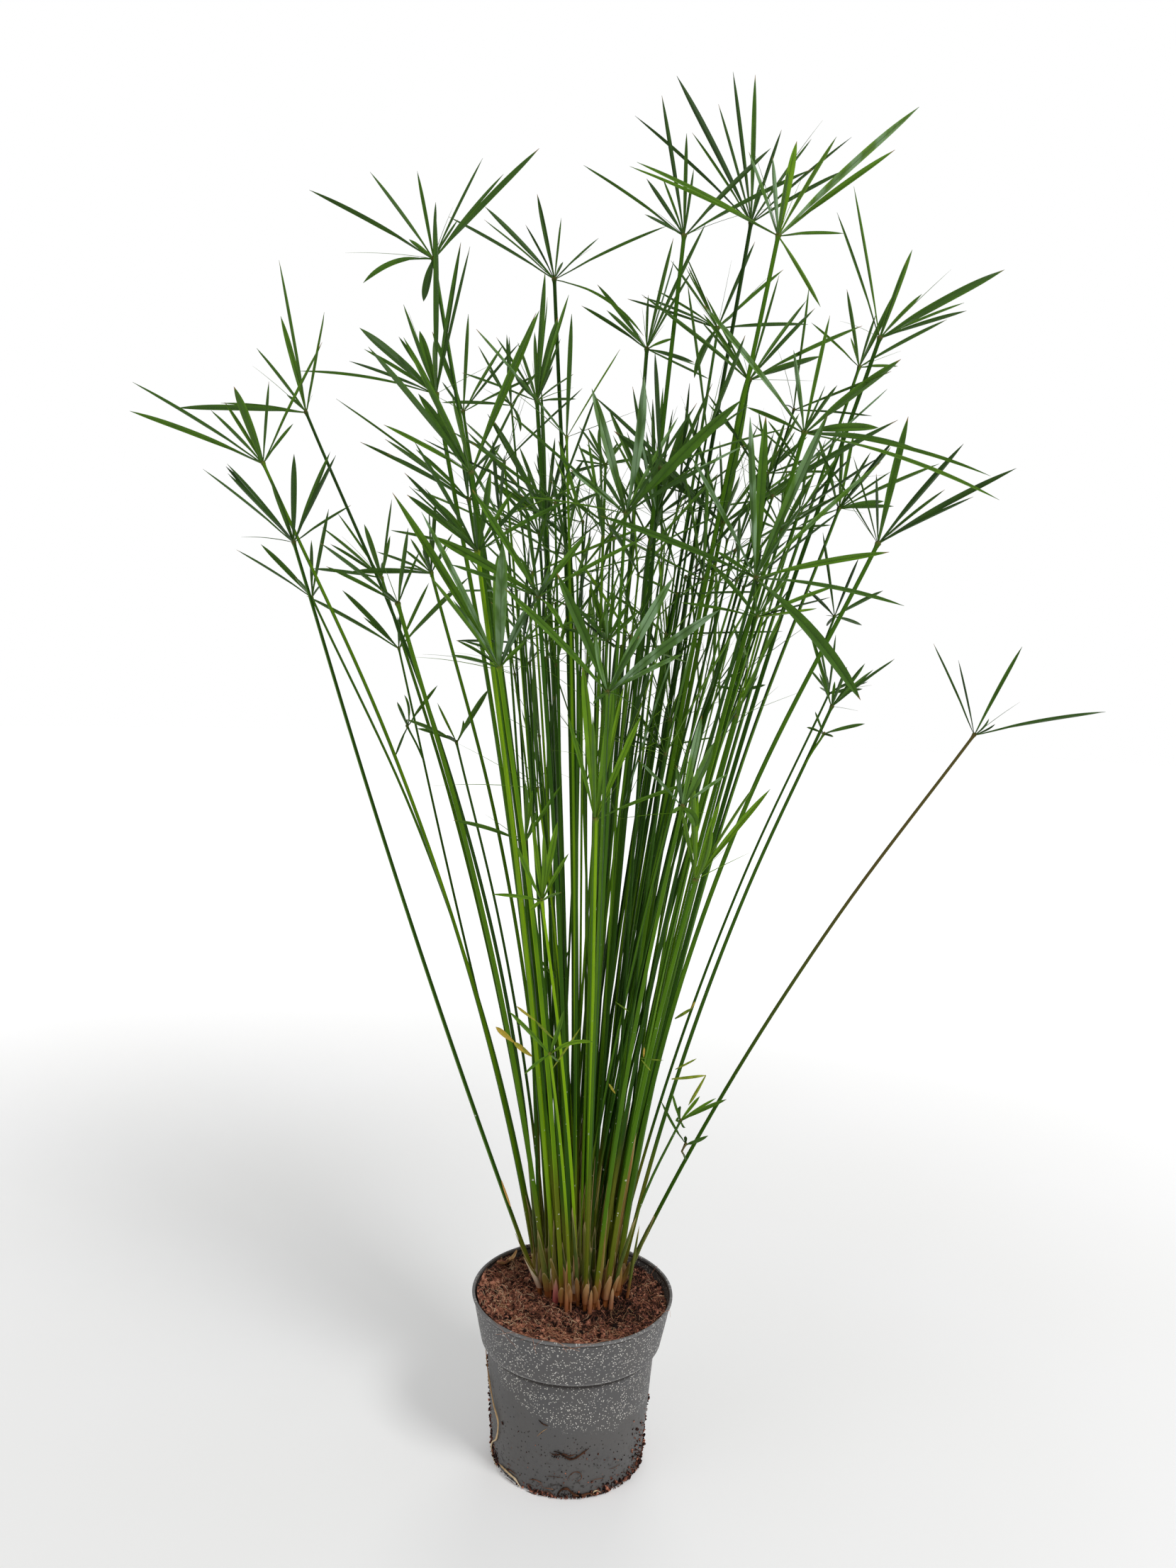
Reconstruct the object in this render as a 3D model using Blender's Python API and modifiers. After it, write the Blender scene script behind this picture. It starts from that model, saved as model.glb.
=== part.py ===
"""Potted papyrus: a nursery pot, its coir soil and a fan of shoots, each a culm with a whorl of leaves.

A shoot is one grown piece: a three-sided culm that stands in a socket in the soil, and the keeled
leaves that spread from its top. The culms fan out from one clump without touching, and each leaf
leans forward or back until it passes the others.

Lengths are metres unless a name says cm or mm. +Z is up and -Y is the front. The origin is the
centre of the pot's base.
"""

import math
import random
from typing import NamedTuple

import bmesh
import bpy
import numpy as np
from mathutils import Matrix, Vector, noise

CM = 0.01
MM = 0.001
GAP = 0.0003  # between neighbouring pieces
UP = Vector((0, 0, 1))

# Pot: a trade size of 19 cm, measured over the rim.
POT_SIDES = 28
POT_HEIGHT = 0.161
RIM_RADIUS = 0.095
LIP_DROP = 0.0035
COLLAR_FOOT = 0.1165  # height of the collar's lower edge
COLLAR_FOOT_RADIUS = 0.0852
BODY_TOP_RADIUS = 0.0800
BASE_RADIUS = 0.0717
WALL = 0.0019
FLOOR = 0.0030

# Soil
SOIL_TOP = 0.1530
SOIL_HEAP = 0.0040  # how much higher it lies at the front left than at the back right
LUMP_HEIGHT = 0.0022
LUMP_SIZE = 0.022
SOIL_RINGS = (0.085, 0.072, 0.059)

# Clump: where the culms come out of the soil.
CLUMP_CENTRE = Vector((0.006, 0.016))
CLUMP_REACH = Vector((0.039, 0.042))
FOOT_SPACING = 0.0084
FOOT_SPREAD = 0.12  # metres of foot offset for each metre of lean
SOCKET_DEPTH = 0.012
SOCKET_ROOM = 0.0004

# Young shoot: a pointed bud at the front left of the clump.
YOUNG_FOOT = Vector((-0.0158, -0.0165))
YOUNG_ROOM = Vector((-0.012, -0.013))  # the culms' feet keep away from this place behind it
YOUNG_SPACING = 0.0100
YOUNG_RADIUS = 0.0031
YOUNG_HEIGHT = 0.026
YOUNG_SIDES = 8
# Radius and height of the bud over the soil, as shares of its own.
YOUNG_OUTLINE = ((0, 1), (0.28, 0.9), (0.72, 0.64), (0.97, 0.3), (1, 0.05), (0.85, 0))

# Dry leaf: a curled strip on the soil at the back left.
DRY_PLACE = Vector((-0.066, 0.050, 0.1560))
DRY_LENGTH = 0.036
DRY_WIDTH = 0.010
DRY_THICK = 0.0007
DRY_CURL = math.radians(110)

# Culms and leaves
CULM_CORNER = 1.2  # a three-sided culm's corners reach past its mean radius
CULM_RINGS = (0.05, 0.35, 0.68, 1)  # where along the culm its solid bends
CULM_DROOP = 0.11  # how far a culm's middle stands inside its straight line, for each metre of lean
KEEL_FLARE = 1.55  # the hub's radius at the leaves' keels, as a share of the culm's
EDGE_FLARE = 1.8  # the same where the leaves' edges meet
HUB_DROP = 0.0035
HUB_RISE = 0.0018
LEAF_ARCH = 0.04  # height of a leaf's middle over its straight line, for each metre
KEEL = 0.26  # depth of the keel, for each metre of leaf width
WIDEST = 0.45  # where along the leaf it is widest
SHOULDER = 0.72  # where an arching leaf bends again
ARCHING = 0.007  # a leaf whose middle stands higher than this gets the second bend
HUB_CLEAR = 0.0085  # least distance of a leaf's widest place from the culm's own line
FACING = 0.8  # how far a leaf turns its broad side to the front
FILLER_WIDTH = 0.003  # of the small leaves that fill the gaps in a whorl
WIDEST_GAP = math.radians(95)
LEAST_FAN = math.radians(9)


class Girth(NamedTuple):
    """Mean radius of a culm at the soil and under its crown, in mm."""

    foot: float
    top: float


STOUT = Girth(2.3, 1.7)
MIDDLE = Girth(2.0, 1.4)
SLENDER = Girth(1.5, 1.05)


class Shoot(NamedTuple):
    """A culm and its crown.

    crown is the crown's place in cm from the pot's base centre: right, back, up. Each leaf is its
    tip's place from the crown as seen from the front, in cm, right then up, its width in mm, and
    where it arches or hangs, how far its middle stands over the straight line, in cm. side is a
    small crown on a stalk of its own, at the place that side_crown gives. droop is how much the
    culm rises steeply first and leans out further up, as CULM_DROOP counts it. filler is how long
    the leaves that fill the whorl's gaps are, as shares of the mean of the others.
    """

    name: str
    crown: tuple
    girth: Girth
    leaves: list
    side_crown: tuple = ()
    side: list = []
    droop: float = CULM_DROOP
    filler: tuple = (0.55, 0.95)


SHOOTS = (
    Shoot("shoot_left_01", (-27, 3, 97), MIDDLE, [
        (-3, 9, 5), (-2, 12.5, 3), (1, 9.5, 3), (-4, 5, 3.5), (-8.5, 1, 2.5), (-11, -0.5, 5),
        (1.5, 5.5, 2.5)], droop=0.2),
    Shoot("shoot_left_02", (-29.5, -2, 91.5), MIDDLE, [
        (-12.5, 4.5, 5), (-10.5, 6, 3.5), (-4, 5.5, 3.5), (-4, 4, 3.5), (-2, 6, 7), (1, 6.5, 2.5),
        (4.5, 11, 3.5)], droop=0.13),
    Shoot("shoot_left_03", (-26, -5, 84.5), MIDDLE, [
        (-6.5, 6.5, 5), (-7, 5.5, 2.5), (-5, 6, 3.5), (-4.5, 5, 3.5), (-2.5, 5.5, 4.5), (0.5, 7, 5),
        (2.5, 8, 4.5), (4, 7, 3.5), (4.5, 3.5, 2.5)], droop=-0.03),
    Shoot("shoot_left_04", (-27, 6, 80.5), SLENDER, [
        (-5.5, 5, 5), (-6.5, 4, 2.5), (-0.5, 5.5, 3.5), (2, 8, 3.5)], droop=0.14),
    Shoot("shoot_left_05", (-19, 8, 76), SLENDER, [
        (-6, 5.5, 5), (-8, 4.5, 3.5), (-4, 3, 2.5), (0, 3, 2.5), (2.5, 6.5, 3.5), (7, 7, 3.5),
        (4.5, 6, 2.5)],
        (-18, 8, 68.5), [(-0.5, 3, 2.5), (-1, -3, 2.5), (2.5, 4, 3.5)], droop=-0.02),
    Shoot("shoot_left_06", (-16.5, -8, 79.5), STOUT, [
        (-6.5, 3, 3.5), (-6, 4.5, 3.5), (0, 3, 2.5), (1, 6, 3.5), (1.5, 4.5, 2.5)]),
    Shoot("shoot_left_07", (-21.5, 12, 83), MIDDLE, [
        (-5, 6.5, 2.5), (-5.5, 4.5, 3.5), (-6, 3.5, 3.5), (-1.5, 5, 5), (0.5, 8, 2.5), (-6.5, 0.5, 3.5),
        (1, 4, 3.5)]),
    Shoot("shoot_left_08", (-14.5, -3, 82.5), MIDDLE, [
        (-7.5, 0, 5), (-4.5, 1.5, 2.5), (-1, 3, 3.5), (-2.5, 2, 2.5), (0, 6.5, 3.5),
        (1.5, 2.5, 2.5)], droop=0.2),
    Shoot("shoot_left_09", (-12.5, 2, 67.5), SLENDER, [
        (-4.5, 2, 3.5, 0.4), (-4, 1, 3.5, 0.4), (-2, 3.5, 2.5), (3, 5, 5), (0.5, 2, 2.5)], droop=0.06),
    Shoot("shoot_crest_01", (-16, 5, 111.5), STOUT, [
        (-12, 6.5, 5), (-5.5, 6.5, 3.5), (-2, 8.5, 3.5), (4.5, 8, 2.5), (6, 8.5, 3.5), (9.5, 9, 5),
        (2, 4, 2.5), (-6, -3, 5, 1.2), (-1, -3.5, 7, 1), (-2, 1, 3.5)]),
    Shoot("shoot_crest_02", (-14, -6, 97), STOUT, [
        (-6.5, 4, 3.5), (-6, 4.5, 7), (-3.5, 5, 3.5), (-2.5, 6.5, 3.5), (-2, 6, 7), (0, 13.5, 5),
        (1.5, 13, 5), (3, 10.5, 2.5), (-12, 2, 2.5, 1), (-6.5, 1.5, 2.5)]),
    Shoot("shoot_crest_03", (-13.5, 10, 99), MIDDLE, [
        (-3.5, 8, 5), (0.5, 8.5, 3.5), (3.5, 7, 3.5), (-2, 2.5, 2.5), (8, 3.5, 2.5), (5.5, 5.5, 2.5)]),
    Shoot("shoot_crest_04", (-11.5, -2, 89), MIDDLE, [
        (-10, 5, 3.5), (-7, 4.5, 3.5), (-5, 4.5, 3.5), (-6.5, 3, 3.5), (-11.5, 8, 2.5), (4.5, 9, 2.5),
        (2.5, 5, 3.5)]),
    Shoot("shoot_crest_05", (-10.5, -10, 90), STOUT, [
        (5, 13.5, 7), (5, 12, 3.5), (-8, 9, 5), (-6, 11, 5), (-5, 7, 7), (-4, 7.5, 5),
        (-7.5, 4, 3.5)], droop=0.02),
    Shoot("shoot_crest_06", (-9.5, -13, 83.5), STOUT, [
        (-6, 4.5, 5), (-5.5, 5.5, 3.5), (-3.5, 4, 5), (1, 6, 5), (2.5, 5, 3.5), (7, 4.5, 3.5, 0.6),
        (4.5, 4.5, 3.5), (-4.5, 7.5, 3.5)]),
    Shoot("shoot_crest_07", (-9.5, 18, 101.5), SLENDER, [
        (-7.5, 0.5, 3.5), (-0.5, 6.5, 3.5), (1, -2.5, 3.5, 1), (-2.5, 3.5, 2.5), (3.5, 5, 2.5)]),
    Shoot("shoot_crest_08", (-6, 2, 98.5), STOUT, [
        (-0.5, 6.5, 3.5), (0.5, 10.5, 5), (2.5, 10, 3.5), (1.5, 8.5, 7), (-4, 6, 2.5), (-2, 2, 5),
        (-2, 5.5, 2.5), (2, 5, 2.5), (3.5, 0.5, 2.5)]),
    Shoot("shoot_crest_09", (-5, 8, 111), STOUT, [
        (-2, 8.5, 5), (-6.5, 5.5, 5), (-7, 6, 2.5), (-10, 5, 3.5), (-3, 5.5, 2.5), (0.5, 5, 2.5),
        (10.5, 6, 3.5, 0.6), (8.5, -5.5, 3.5, 1.5), (4, 4.5, 2.5)], droop=0.15),
    Shoot("shoot_crest_10", (6.5, 0, 112.5), STOUT, [
        (-9, 6.5, 3.5), (-2.5, 10.5, 3.5), (0, 9.5, 3.5), (-3.5, 4, 3.5), (-2, 5.5, 2.5), (0.5, 5, 2.5),
        (7.5, 8.5, 5), (10.5, 5, 3.5), (-3.5, 1.5, 2.5)]),
    Shoot("shoot_crest_11", (13, 6, 116), STOUT, [
        (0, 14, 5), (-2.5, 12, 3.5), (-11, 10, 3.5), (-7.5, 11.5, 5), (-5.5, 9.5, 2.5), (-4, 7.5, 2.5),
        (5.5, 8.5, 3.5), (8, 4, 3.5), (8, 6, 2.5)]),
    Shoot("shoot_crest_12", (14, -5, 111), STOUT, [
        (-12.5, 6, 3.5), (-12, 4.5, 3.5), (-2.5, 7.5, 3.5), (-1, 5.5, 3.5), (1.5, 8.5, 7), (4, 7, 3.5),
        (9, 9, 3.5), (10.5, 9.5, 6), (9.5, 7.5, 5.5), (6.1, 1.6, 3.5, 0.3), (4.7, -4.1, 3.5, 0.3)]),
    Shoot("shoot_crest_13", (11, 13, 108.5), MIDDLE, [
        (-6, 4, 2.5), (-5, 5.5, 2.5), (-7.5, 2, 2.5), (3, 7.5, 3.5), (6.5, 6.5, 3.5), (8.5, 0, 3.5),
        (-2, -4.5, 7, 1.2)]),
    Shoot("shoot_crest_14", (12.5, -2, 100), STOUT, [
        (-9.5, 7.5, 3.5), (-8, 5, 3.5), (5, 7.5, 3.5), (5, 5.5, 3.5), (10, 5.5, 3.5), (6, 2, 5),
        (-4, 6, 3.5)]),
    Shoot("shoot_crest_15", (4, 10, 105.5), STOUT, [
        (-5, 6.5, 5), (-4, 3, 3.5), (-6.5, 5, 3.5), (2, 9.5, 3.5), (5, 11, 3.5), (4.5, -1.5, 3.5),
        (0, 5.5, 2.5)]),
    Shoot("shoot_right_01", (24.5, 2, 105), STOUT, [
        (-4, 11.5, 2.5), (-3.5, 12, 2.5), (3, 8.5, 5), (1.5, 6, 2.5), (4, 4.5, 3.5), (10, 5.5, 7),
        (8, 4, 2.5), (6.5, 1.5, 3.5)]),
    Shoot("shoot_right_02", (24.5, 10, 104.5), MIDDLE, [
        (4, 8.5, 5), (7.5, 4, 3.5), (4, 0.5, 3.5), (1, 4.5, 2.5), (-4.5, 4.5, 2.5), (-2, 6.5, 3.5)]),
    Shoot("shoot_right_03", (16.5, -8, 94.5), STOUT, [
        (2, 10, 3.5), (-1.5, 6, 3.5), (-8.5, 10.5, 5), (7, 5.5, 7), (6.5, 1, 7, 0.5), (10, -1, 5, 0.9),
        (7.5, 0.5, 2.5), (13.5, -4, 3.5, 1.5), (16, -5, 3.5, 1.5), (-4.5, 2.5, 3.5)]),
    Shoot("shoot_right_04", (22.5, 6, 90.5), MIDDLE, [
        (1.5, 7.5, 3.5), (-0.5, 7.5, 3.5), (-2, 7, 5), (8.5, 4, 3.5), (4.5, 1, 5), (4.5, 0, 3.5),
        (-4, -2, 2.5)], droop=0.15),
    Shoot("shoot_right_05", (23.5, -6, 86), STOUT, [
        (2.5, 11, 9), (6, 8, 7), (12, 7, 7), (6.5, 3.5, 3.5), (6, 5, 3.5), (-5.5, 8.5, 2.5),
        (-2, 7.5, 2.5)],
        (21, -2, 80), [(-1, 7.5, 2.5), (1.5, 5, 2.5), (4.5, 2.5, 3.5)], droop=0.2),
    Shoot("shoot_right_06", (22, 2, 72), MIDDLE, [
        (-2, 7, 3.5), (5, 4.5, 3.5), (4, 3.5, 3.5), (2.5, 4, 3.5), (-1.5, 3, 2.5)],
        (21.2, 1, 69.5), [(4, 1, 3.5), (-1, 2, 2.5), (-1.5, 0.5, 2.5)]),
    Shoot("shoot_right_07", (34, -2, 70), MIDDLE, [
        (-3.5, 8, 3.5), (-2.5, 6.5, 2.5), (4.5, 8, 5), (10.5, 2.5, 5, 0.5), (2, 1, 2.5), (1, 1.5, 2.5)],
        (9.5, -3.5, 31.5), [(2.4, 1.1, 3.5), (0.2, 1.4, 3), (-2, 4, 2.5)], droop=0.07, filler=(0.3, 0.45)),
    Shoot("shoot_right_08", (24.5, 16, 73), SLENDER, [
        (-2, 2.5, 2.5), (-2, 6.5, 2.5), (2, 0.5, 2.5), (0, 6, 2.5)]),
    Shoot("shoot_heart_01", (-5, 6, 88.5), STOUT, [
        (-6, 10, 5), (-5, 8.5, 5), (-7.5, 7.5, 3.5), (-6.5, 5.5, 3.5), (-5.5, 3.5, 5), (-2.5, 6, 3.5),
        (0.5, 8, 3.5), (3.5, 5.5, 3.5), (5, 2.5, 3.5)]),
    Shoot("shoot_heart_02", (-6, 14, 88), MIDDLE, [
        (-5, 5.5, 3.5), (-3, 4.5, 3.5), (-1.5, 7, 3.5), (2, 6, 2.5), (4, 3.5, 2.5), (-5, 1.5, 2.5),
        (-8.5, 3.5, 3.5)]),
    Shoot("shoot_heart_03", (-4.5, -16, 80), MIDDLE, [
        (-8.5, 4.5, 7), (-5, 7.5, 5), (3.5, 5, 5), (8, 4.5, 3.5), (2, -2.5, 3.5, 0.6), (-1.5, 3, 3.5),
        (-6.5, 2, 3.5)]),
    Shoot("shoot_heart_04", (-7.5, -14, 74.5), STOUT, [
        (-9, 13.5, 7), (-6, 11.5, 5), (-0.5, 9, 9), (0.5, 9, 9), (2, 5, 5), (2, 2, 3.5),
        (-3.5, 2, 2.5, 0.5), (-3.5, 5, 3.5)]),
    Shoot("shoot_heart_05", (0.5, 22, 96.5), MIDDLE, [
        (-0.5, 5, 3.5), (-2, 3.5, 3.5), (2, 3, 3.5), (-3, 1.5, 3.5), (-3, 4, 2.5), (3, 0.5, 3.5),
        (-4.5, -1, 3.5, 0.5)]),
    Shoot("shoot_heart_06", (2, -12, 87), MIDDLE, [
        (-3, 10, 7), (1, 10, 7), (-4.5, 3.5, 5), (8.5, 8.5, 9), (9.5, 6, 2.5), (4, 8, 3.5),
        (6.5, 3.5, 3.5)]),
    Shoot("shoot_heart_07", (5, 2, 88.5), STOUT, [
        (-0.5, 11, 3.5), (0.5, 12.5, 3.5), (3, 10, 9), (-2.5, 11, 3.5), (-4.5, 10, 5), (4.5, 11.5, 3.5),
        (-4, 8, 3.5), (4.5, 3, 3.5)]),
    Shoot("shoot_heart_08", (11, 0, 88), STOUT, [
        (-10, 7.5, 9), (-12, 9, 3.5), (14.5, 9, 5), (8.5, 5, 5), (5, 7, 3.5), (2, 14, 9), (5.5, 3.5, 3.5),
        (-4, 9.5, 3.5)]),
    Shoot("shoot_heart_09", (16.5, 12, 94.5), SLENDER, [
        (-6, 7, 5), (2.5, 5.5, 3.5), (4, 4, 3.5), (6.5, 0, 2.5), (0, -2.5, 5, 0.8), (2, 2.5, 2.5),
        (-1, 6.5, 2.5)]),
    Shoot("shoot_heart_10", (17.5, 8, 88.5), MIDDLE, [
        (3, 5.5, 5), (-3.5, 1, 2.5), (0.5, 6, 3.5), (5.5, 3.5, 3.5), (-3.5, 4, 3.5), (4.5, 0.5, 2.5)]),
    Shoot("shoot_front_01", (12, -16, 82), MIDDLE, [
        (0.5, 12.5, 7), (4.5, 12, 7), (8.5, 8.5, 3.5), (9.5, 2, 5), (8, -9, 9, 1.8),
        (12.5, -1.5, 3.5, 0.9), (-12, 4.5, 5, 0.5), (-5.5, 8.5, 3.5), (-1.5, 11, 5), (-3, 2, 3.5)]),
    Shoot("shoot_front_02", (13.5, -7, 79.5), SLENDER, [
        (7, 3, 3.5), (-4, 4, 3.5), (-5, 5.5, 2.5), (-0.5, 3.5, 3.5), (-6.5, 1, 2.5), (2.5, 4.5, 3.5)]),
    Shoot("shoot_front_03", (1, -22, 73), MIDDLE, [
        (-4, 8.5, 7), (-7.5, 7, 5), (4.5, 8.5, 7), (7.5, 6, 7, 0.5), (5.5, 3, 3.5), (2, 4, 3.5),
        (-1, 4, 3.5)]),
    Shoot("shoot_front_04", (1, -8, 77), SLENDER, [
        (-1.5, 4.5, 5), (-3, 3, 3.5), (1.5, 3, 3.5), (2.5, 2.5, 3.5), (0.5, 4.5, 3.5), (-4, 1, 2.5)]),
    Shoot("shoot_front_05", (0.5, -12, 62.5), STOUT, [
        (-1.5, 12.5, 7), (-2.5, 8.5, 3.5), (1, 11, 7), (2, 11, 3.5), (3.5, 8.5, 5), (-0.5, 8.5, 3.5)]),
    Shoot("shoot_front_06", (-5.5, -6, 59.5), MIDDLE, [
        (-6, 2, 3.5, 0.6), (0, 5.5, 3.5), (0.5, 4.5, 3.5), (1, 3, 3), (3, 5, 3.5)]),
    Shoot("shoot_front_07", (-3.5, -16, 56.5), SLENDER, [
        (-1, 6, 3.5), (-2, 4.5, 3.5), (0, 5.5, 5), (1, 6, 5), (2, 4, 3.5)]),
    Shoot("shoot_front_08", (7, -18, 64.5), MIDDLE, [
        (2, 5, 7), (1, 7, 5), (-0.5, 3, 3.5), (-3.5, 3.5, 2.5), (3.5, 2.5, 2.5), (1, -1.5, 7, 0.5)]),
    Shoot("shoot_front_09", (6.5, 4, 67.5), SLENDER, [
        (-2.5, 3.5, 3.5), (0.5, 4.5, 3.5), (1.5, 5, 3.5), (-1.5, 4, 2.5), (-3, 1.5, 2.5)]),
    Shoot("shoot_front_10", (9, -10, 57.5), STOUT, [
        (0, 8.5, 3.5), (1, 5, 5), (2, 6.5, 5), (5.5, 8, 5), (4, 8.5, 2.5), (-1.5, 6, 3.5), (-1, 9.5, 5)]),
    Shoot("shoot_low_01", (-2.5, 0, 46), SLENDER, [
        (0, 3, 3), (-1.5, 2, 2.5), (1, 2.5, 2.5), (-1.5, 1, 2.5)]),
    Shoot("shoot_low_02", (-2.5, -14, 43.5), SLENDER, [
        (-3.5, 3, 3.5), (1, 4, 3.5), (3.5, 1.5, 3.5, 0.6), (-2, -1.5, 2.5, 0.3), (0.5, 2, 2.5)]),
    Shoot("shoot_low_03", (9, -6, 35.2), SLENDER, [
        (1.7, 2, 3), (3.8, 2.6, 3.5), (3.1, 2, 2.5), (-0.9, 2.8, 2.5)], filler=(0.3, 0.45)),
    Shoot("shoot_low_04", (14, 5, 73), SLENDER, [
        (-0.5, 4, 2.5), (-1.5, 2, 3), (1, 2.5, 2.5), (-2.5, 0.5, 2.5)]),
)

# Each leaf tries these lengths towards the back, for each metre of its seen length, in turn.
DEEPEST_FOR = 0.075  # a leaf longer than this reaches no further back than one of this length
DEPTHS = (0.3, -0.3, 0.55, -0.55, 0.12, -0.12, 0.8, -0.8, 1.05, -1.05, 1.4, -1.4)
# Where the middle of a culm may move, right and back in mm, to pass the culms beside it.
SIDESTEPS = ((0, 0), (4, 0), (-4, 0), (0, 4), (0, -4), (7, 7), (-7, 7), (7, -7), (-7, -7), (12, 0), (-12, 0),
             (0, 12), (0, -12), (16, 16), (-16, 16), (16, -16), (-16, -16))


class Leaf(NamedTuple):
    """A planned leaf: its middle line as a curve of three points, its width and its azimuth."""

    root: Vector
    control: Vector
    tip: Vector
    width: float
    turn: float

    def point(self, along):
        away = 1 - along
        return self.root * away**2 + self.control * (2 * along * away) + self.tip * along**2


class Obstacles:
    """The straight runs of every culm and leaf that is already placed, with their half widths."""

    def __init__(self):
        self.starts = np.empty((0, 3))
        self.ends = np.empty((0, 3))
        self.radii = np.empty(0)
        self.owners = np.empty(0, int)

    def add(self, points, radii, owner):
        places = np.array([tuple(point) for point in points])
        self.starts = np.vstack([self.starts, places[:-1]])
        self.ends = np.vstack([self.ends, places[1:]])
        self.radii = np.append(self.radii, radii)
        self.owners = np.append(self.owners, np.full(len(points) - 1, owner))

    def room(self, points, radii, owner):
        """The least free space between this line and the others that aren't its owner's."""
        if not len(self.radii):
            return 1.0
        least = 1.0
        others = self.owners != owner
        places = np.array([tuple(point) for point in points])
        for start, end, radius in zip(places[:-1], places[1:], radii):
            gaps = run_gaps(start, end, self.starts[others], self.ends[others])
            least = min(least, (gaps - radius - self.radii[others]).min())
        return least


def run_gaps(start, end, starts, ends):
    """Shortest distance from one straight run to each of the others."""
    along, others, between = end - start, ends - starts, start - starts
    own = along @ along
    squares = (others * others).sum(1)
    reach = (others * between).sum(1)
    near = between @ along
    cross = others @ along
    here = np.clip((cross * reach - near * squares) / np.maximum(own * squares - cross**2, 1e-12), 0, 1)
    there = np.clip((cross * here + reach) / squares, 0, 1)
    here = np.clip((cross * there - near) / own, 0, 1)
    return np.linalg.norm(between + here[:, None] * along - there[:, None] * others, axis=1)


def clump_feet():
    """Where each culm comes out of the soil: those that lean furthest stand at the clump's edge."""
    feet = []
    for shoot in SHOOTS:
        crown = Vector(shoot.crown) * CM
        lean = (crown.xy - CLUMP_CENTRE) / (crown.z - SOIL_TOP)
        feet.append(CLUMP_CENTRE + lean * FOOT_SPREAD)
    for _ in range(400):
        for index, foot in enumerate(feet):
            for other in feet[:index]:
                between = foot - other
                short = FOOT_SPACING - between.length
                if short > 0:
                    push = between.normalized() * short * 0.5
                    foot += push
                    other -= push
            between = foot - YOUNG_ROOM
            if between.length < YOUNG_SPACING:
                foot += between.normalized() * (YOUNG_SPACING - between.length)
            out = foot - CLUMP_CENTRE
            stretch = Vector((out.x / CLUMP_REACH.x, out.y / CLUMP_REACH.y)).length
            if stretch > 1:
                foot -= out * (1 - 1 / stretch)
    return feet


def culm_line(foot, crown, droop, sidestep):
    """The culm's middle line: straight up out of its socket, then out to its crown."""
    start = Vector((foot.x, foot.y, SOIL_TOP + MM))
    inward = (start - crown).to_2d() * droop
    control = (start + crown) / 2 + (inward * 2).to_3d() + Vector((*sidestep, 0)) * 2 * MM
    line = [start - UP * (SOCKET_DEPTH + MM), start]
    for along in CULM_RINGS:
        away = 1 - along
        line.append(start * away**2 + control * (2 * along * away) + crown * along**2)
    return line


def culm_radii(shoot):
    """The culm's mean radius at each point of its line."""
    foot, top = shoot.girth.foot * MM, shoot.girth.top * MM
    return [foot, foot] + [foot + (top - foot) * along for along in CULM_RINGS]


def plan_culms(obstacles):
    """The middle line of each culm, clear of those before it."""
    lines = []
    for owner, (shoot, foot) in enumerate(zip(SHOOTS, clump_feet())):
        crown = Vector(shoot.crown) * CM
        half_widths = [radius * CULM_CORNER + GAP for radius in culm_radii(shoot)[1:]]
        best = None
        for sidestep in SIDESTEPS:
            line = culm_line(foot, crown, shoot.droop, sidestep)
            room = obstacles.room(line, half_widths, -1)
            if best is None or room > best[0]:
                best = room, line
            if room > 0:
                break
        lines.append(best[1])
        obstacles.add(best[1], half_widths, owner)
    return lines


def axes_along(direction):
    """A direction and two directions across it, the first of them to the right."""
    axis = direction.normalized()
    right = (Vector((1, 0, 0)) - axis * axis.x).normalized()
    return axis, right, axis.cross(right)


def azimuth(direction, axes):
    return math.atan2(direction.dot(axes[2]), direction.dot(axes[1]))


def apart(first, second):
    """The angle between two azimuths."""
    return abs((first - second + math.pi) % (2 * math.pi) - math.pi)


def leaf_between(root, tip, width, arch, axes):
    """A leaf from the hub to its tip, its middle lifted off the straight line by arch."""
    chord = tip - root
    direction = chord.normalized()
    lift = UP - direction * direction.z
    control = (root + tip) / 2 + lift * 2 * arch
    turn = azimuth(chord, axes)
    leaf = Leaf(root, control, tip, width, turn)
    outward = axes[1] * math.cos(turn) + axes[2] * math.sin(turn)
    short = HUB_CLEAR + width / 4 - (leaf.point(WIDEST) - root).dot(outward)
    if short > 0:
        control = control + outward * short / (2 * WIDEST * (1 - WIDEST))
    return leaf._replace(control=control)


def leaf_half_widths(leaf):
    """Half widths of the leaf's four runs, for passing the others."""
    return [leaf.width / 2 * share + GAP for share in (0.7, 1, 0.85, 0.45)]


def leaf_room(leaf, siblings, obstacles, owner):
    """How far the leaf clears all that is placed; below zero where it fans too close to a sibling."""
    points = [leaf.point(along) for along in (0, 0.3, 0.55, 0.8, 1)]
    half_widths = leaf_half_widths(leaf)
    room = obstacles.room(points, half_widths, owner)
    kin = Obstacles()
    for sibling in siblings:
        kin.add([sibling.point(along) for along in (0.3, 0.55, 0.8, 1)], leaf_half_widths(sibling)[1:], 0)
        if apart(leaf.turn, sibling.turn) < LEAST_FAN:
            room = min(room, -0.01)
    own = Obstacles()
    own_runs = obstacles.owners == owner
    own.starts, own.ends = obstacles.starts[own_runs], obstacles.ends[own_runs]
    own.radii, own.owners = obstacles.radii[own_runs], obstacles.owners[own_runs]
    outer = points[1:]
    return min(room, kin.room(outer, half_widths[1:], -1), own.room(outer, half_widths[1:], -1))


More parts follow.
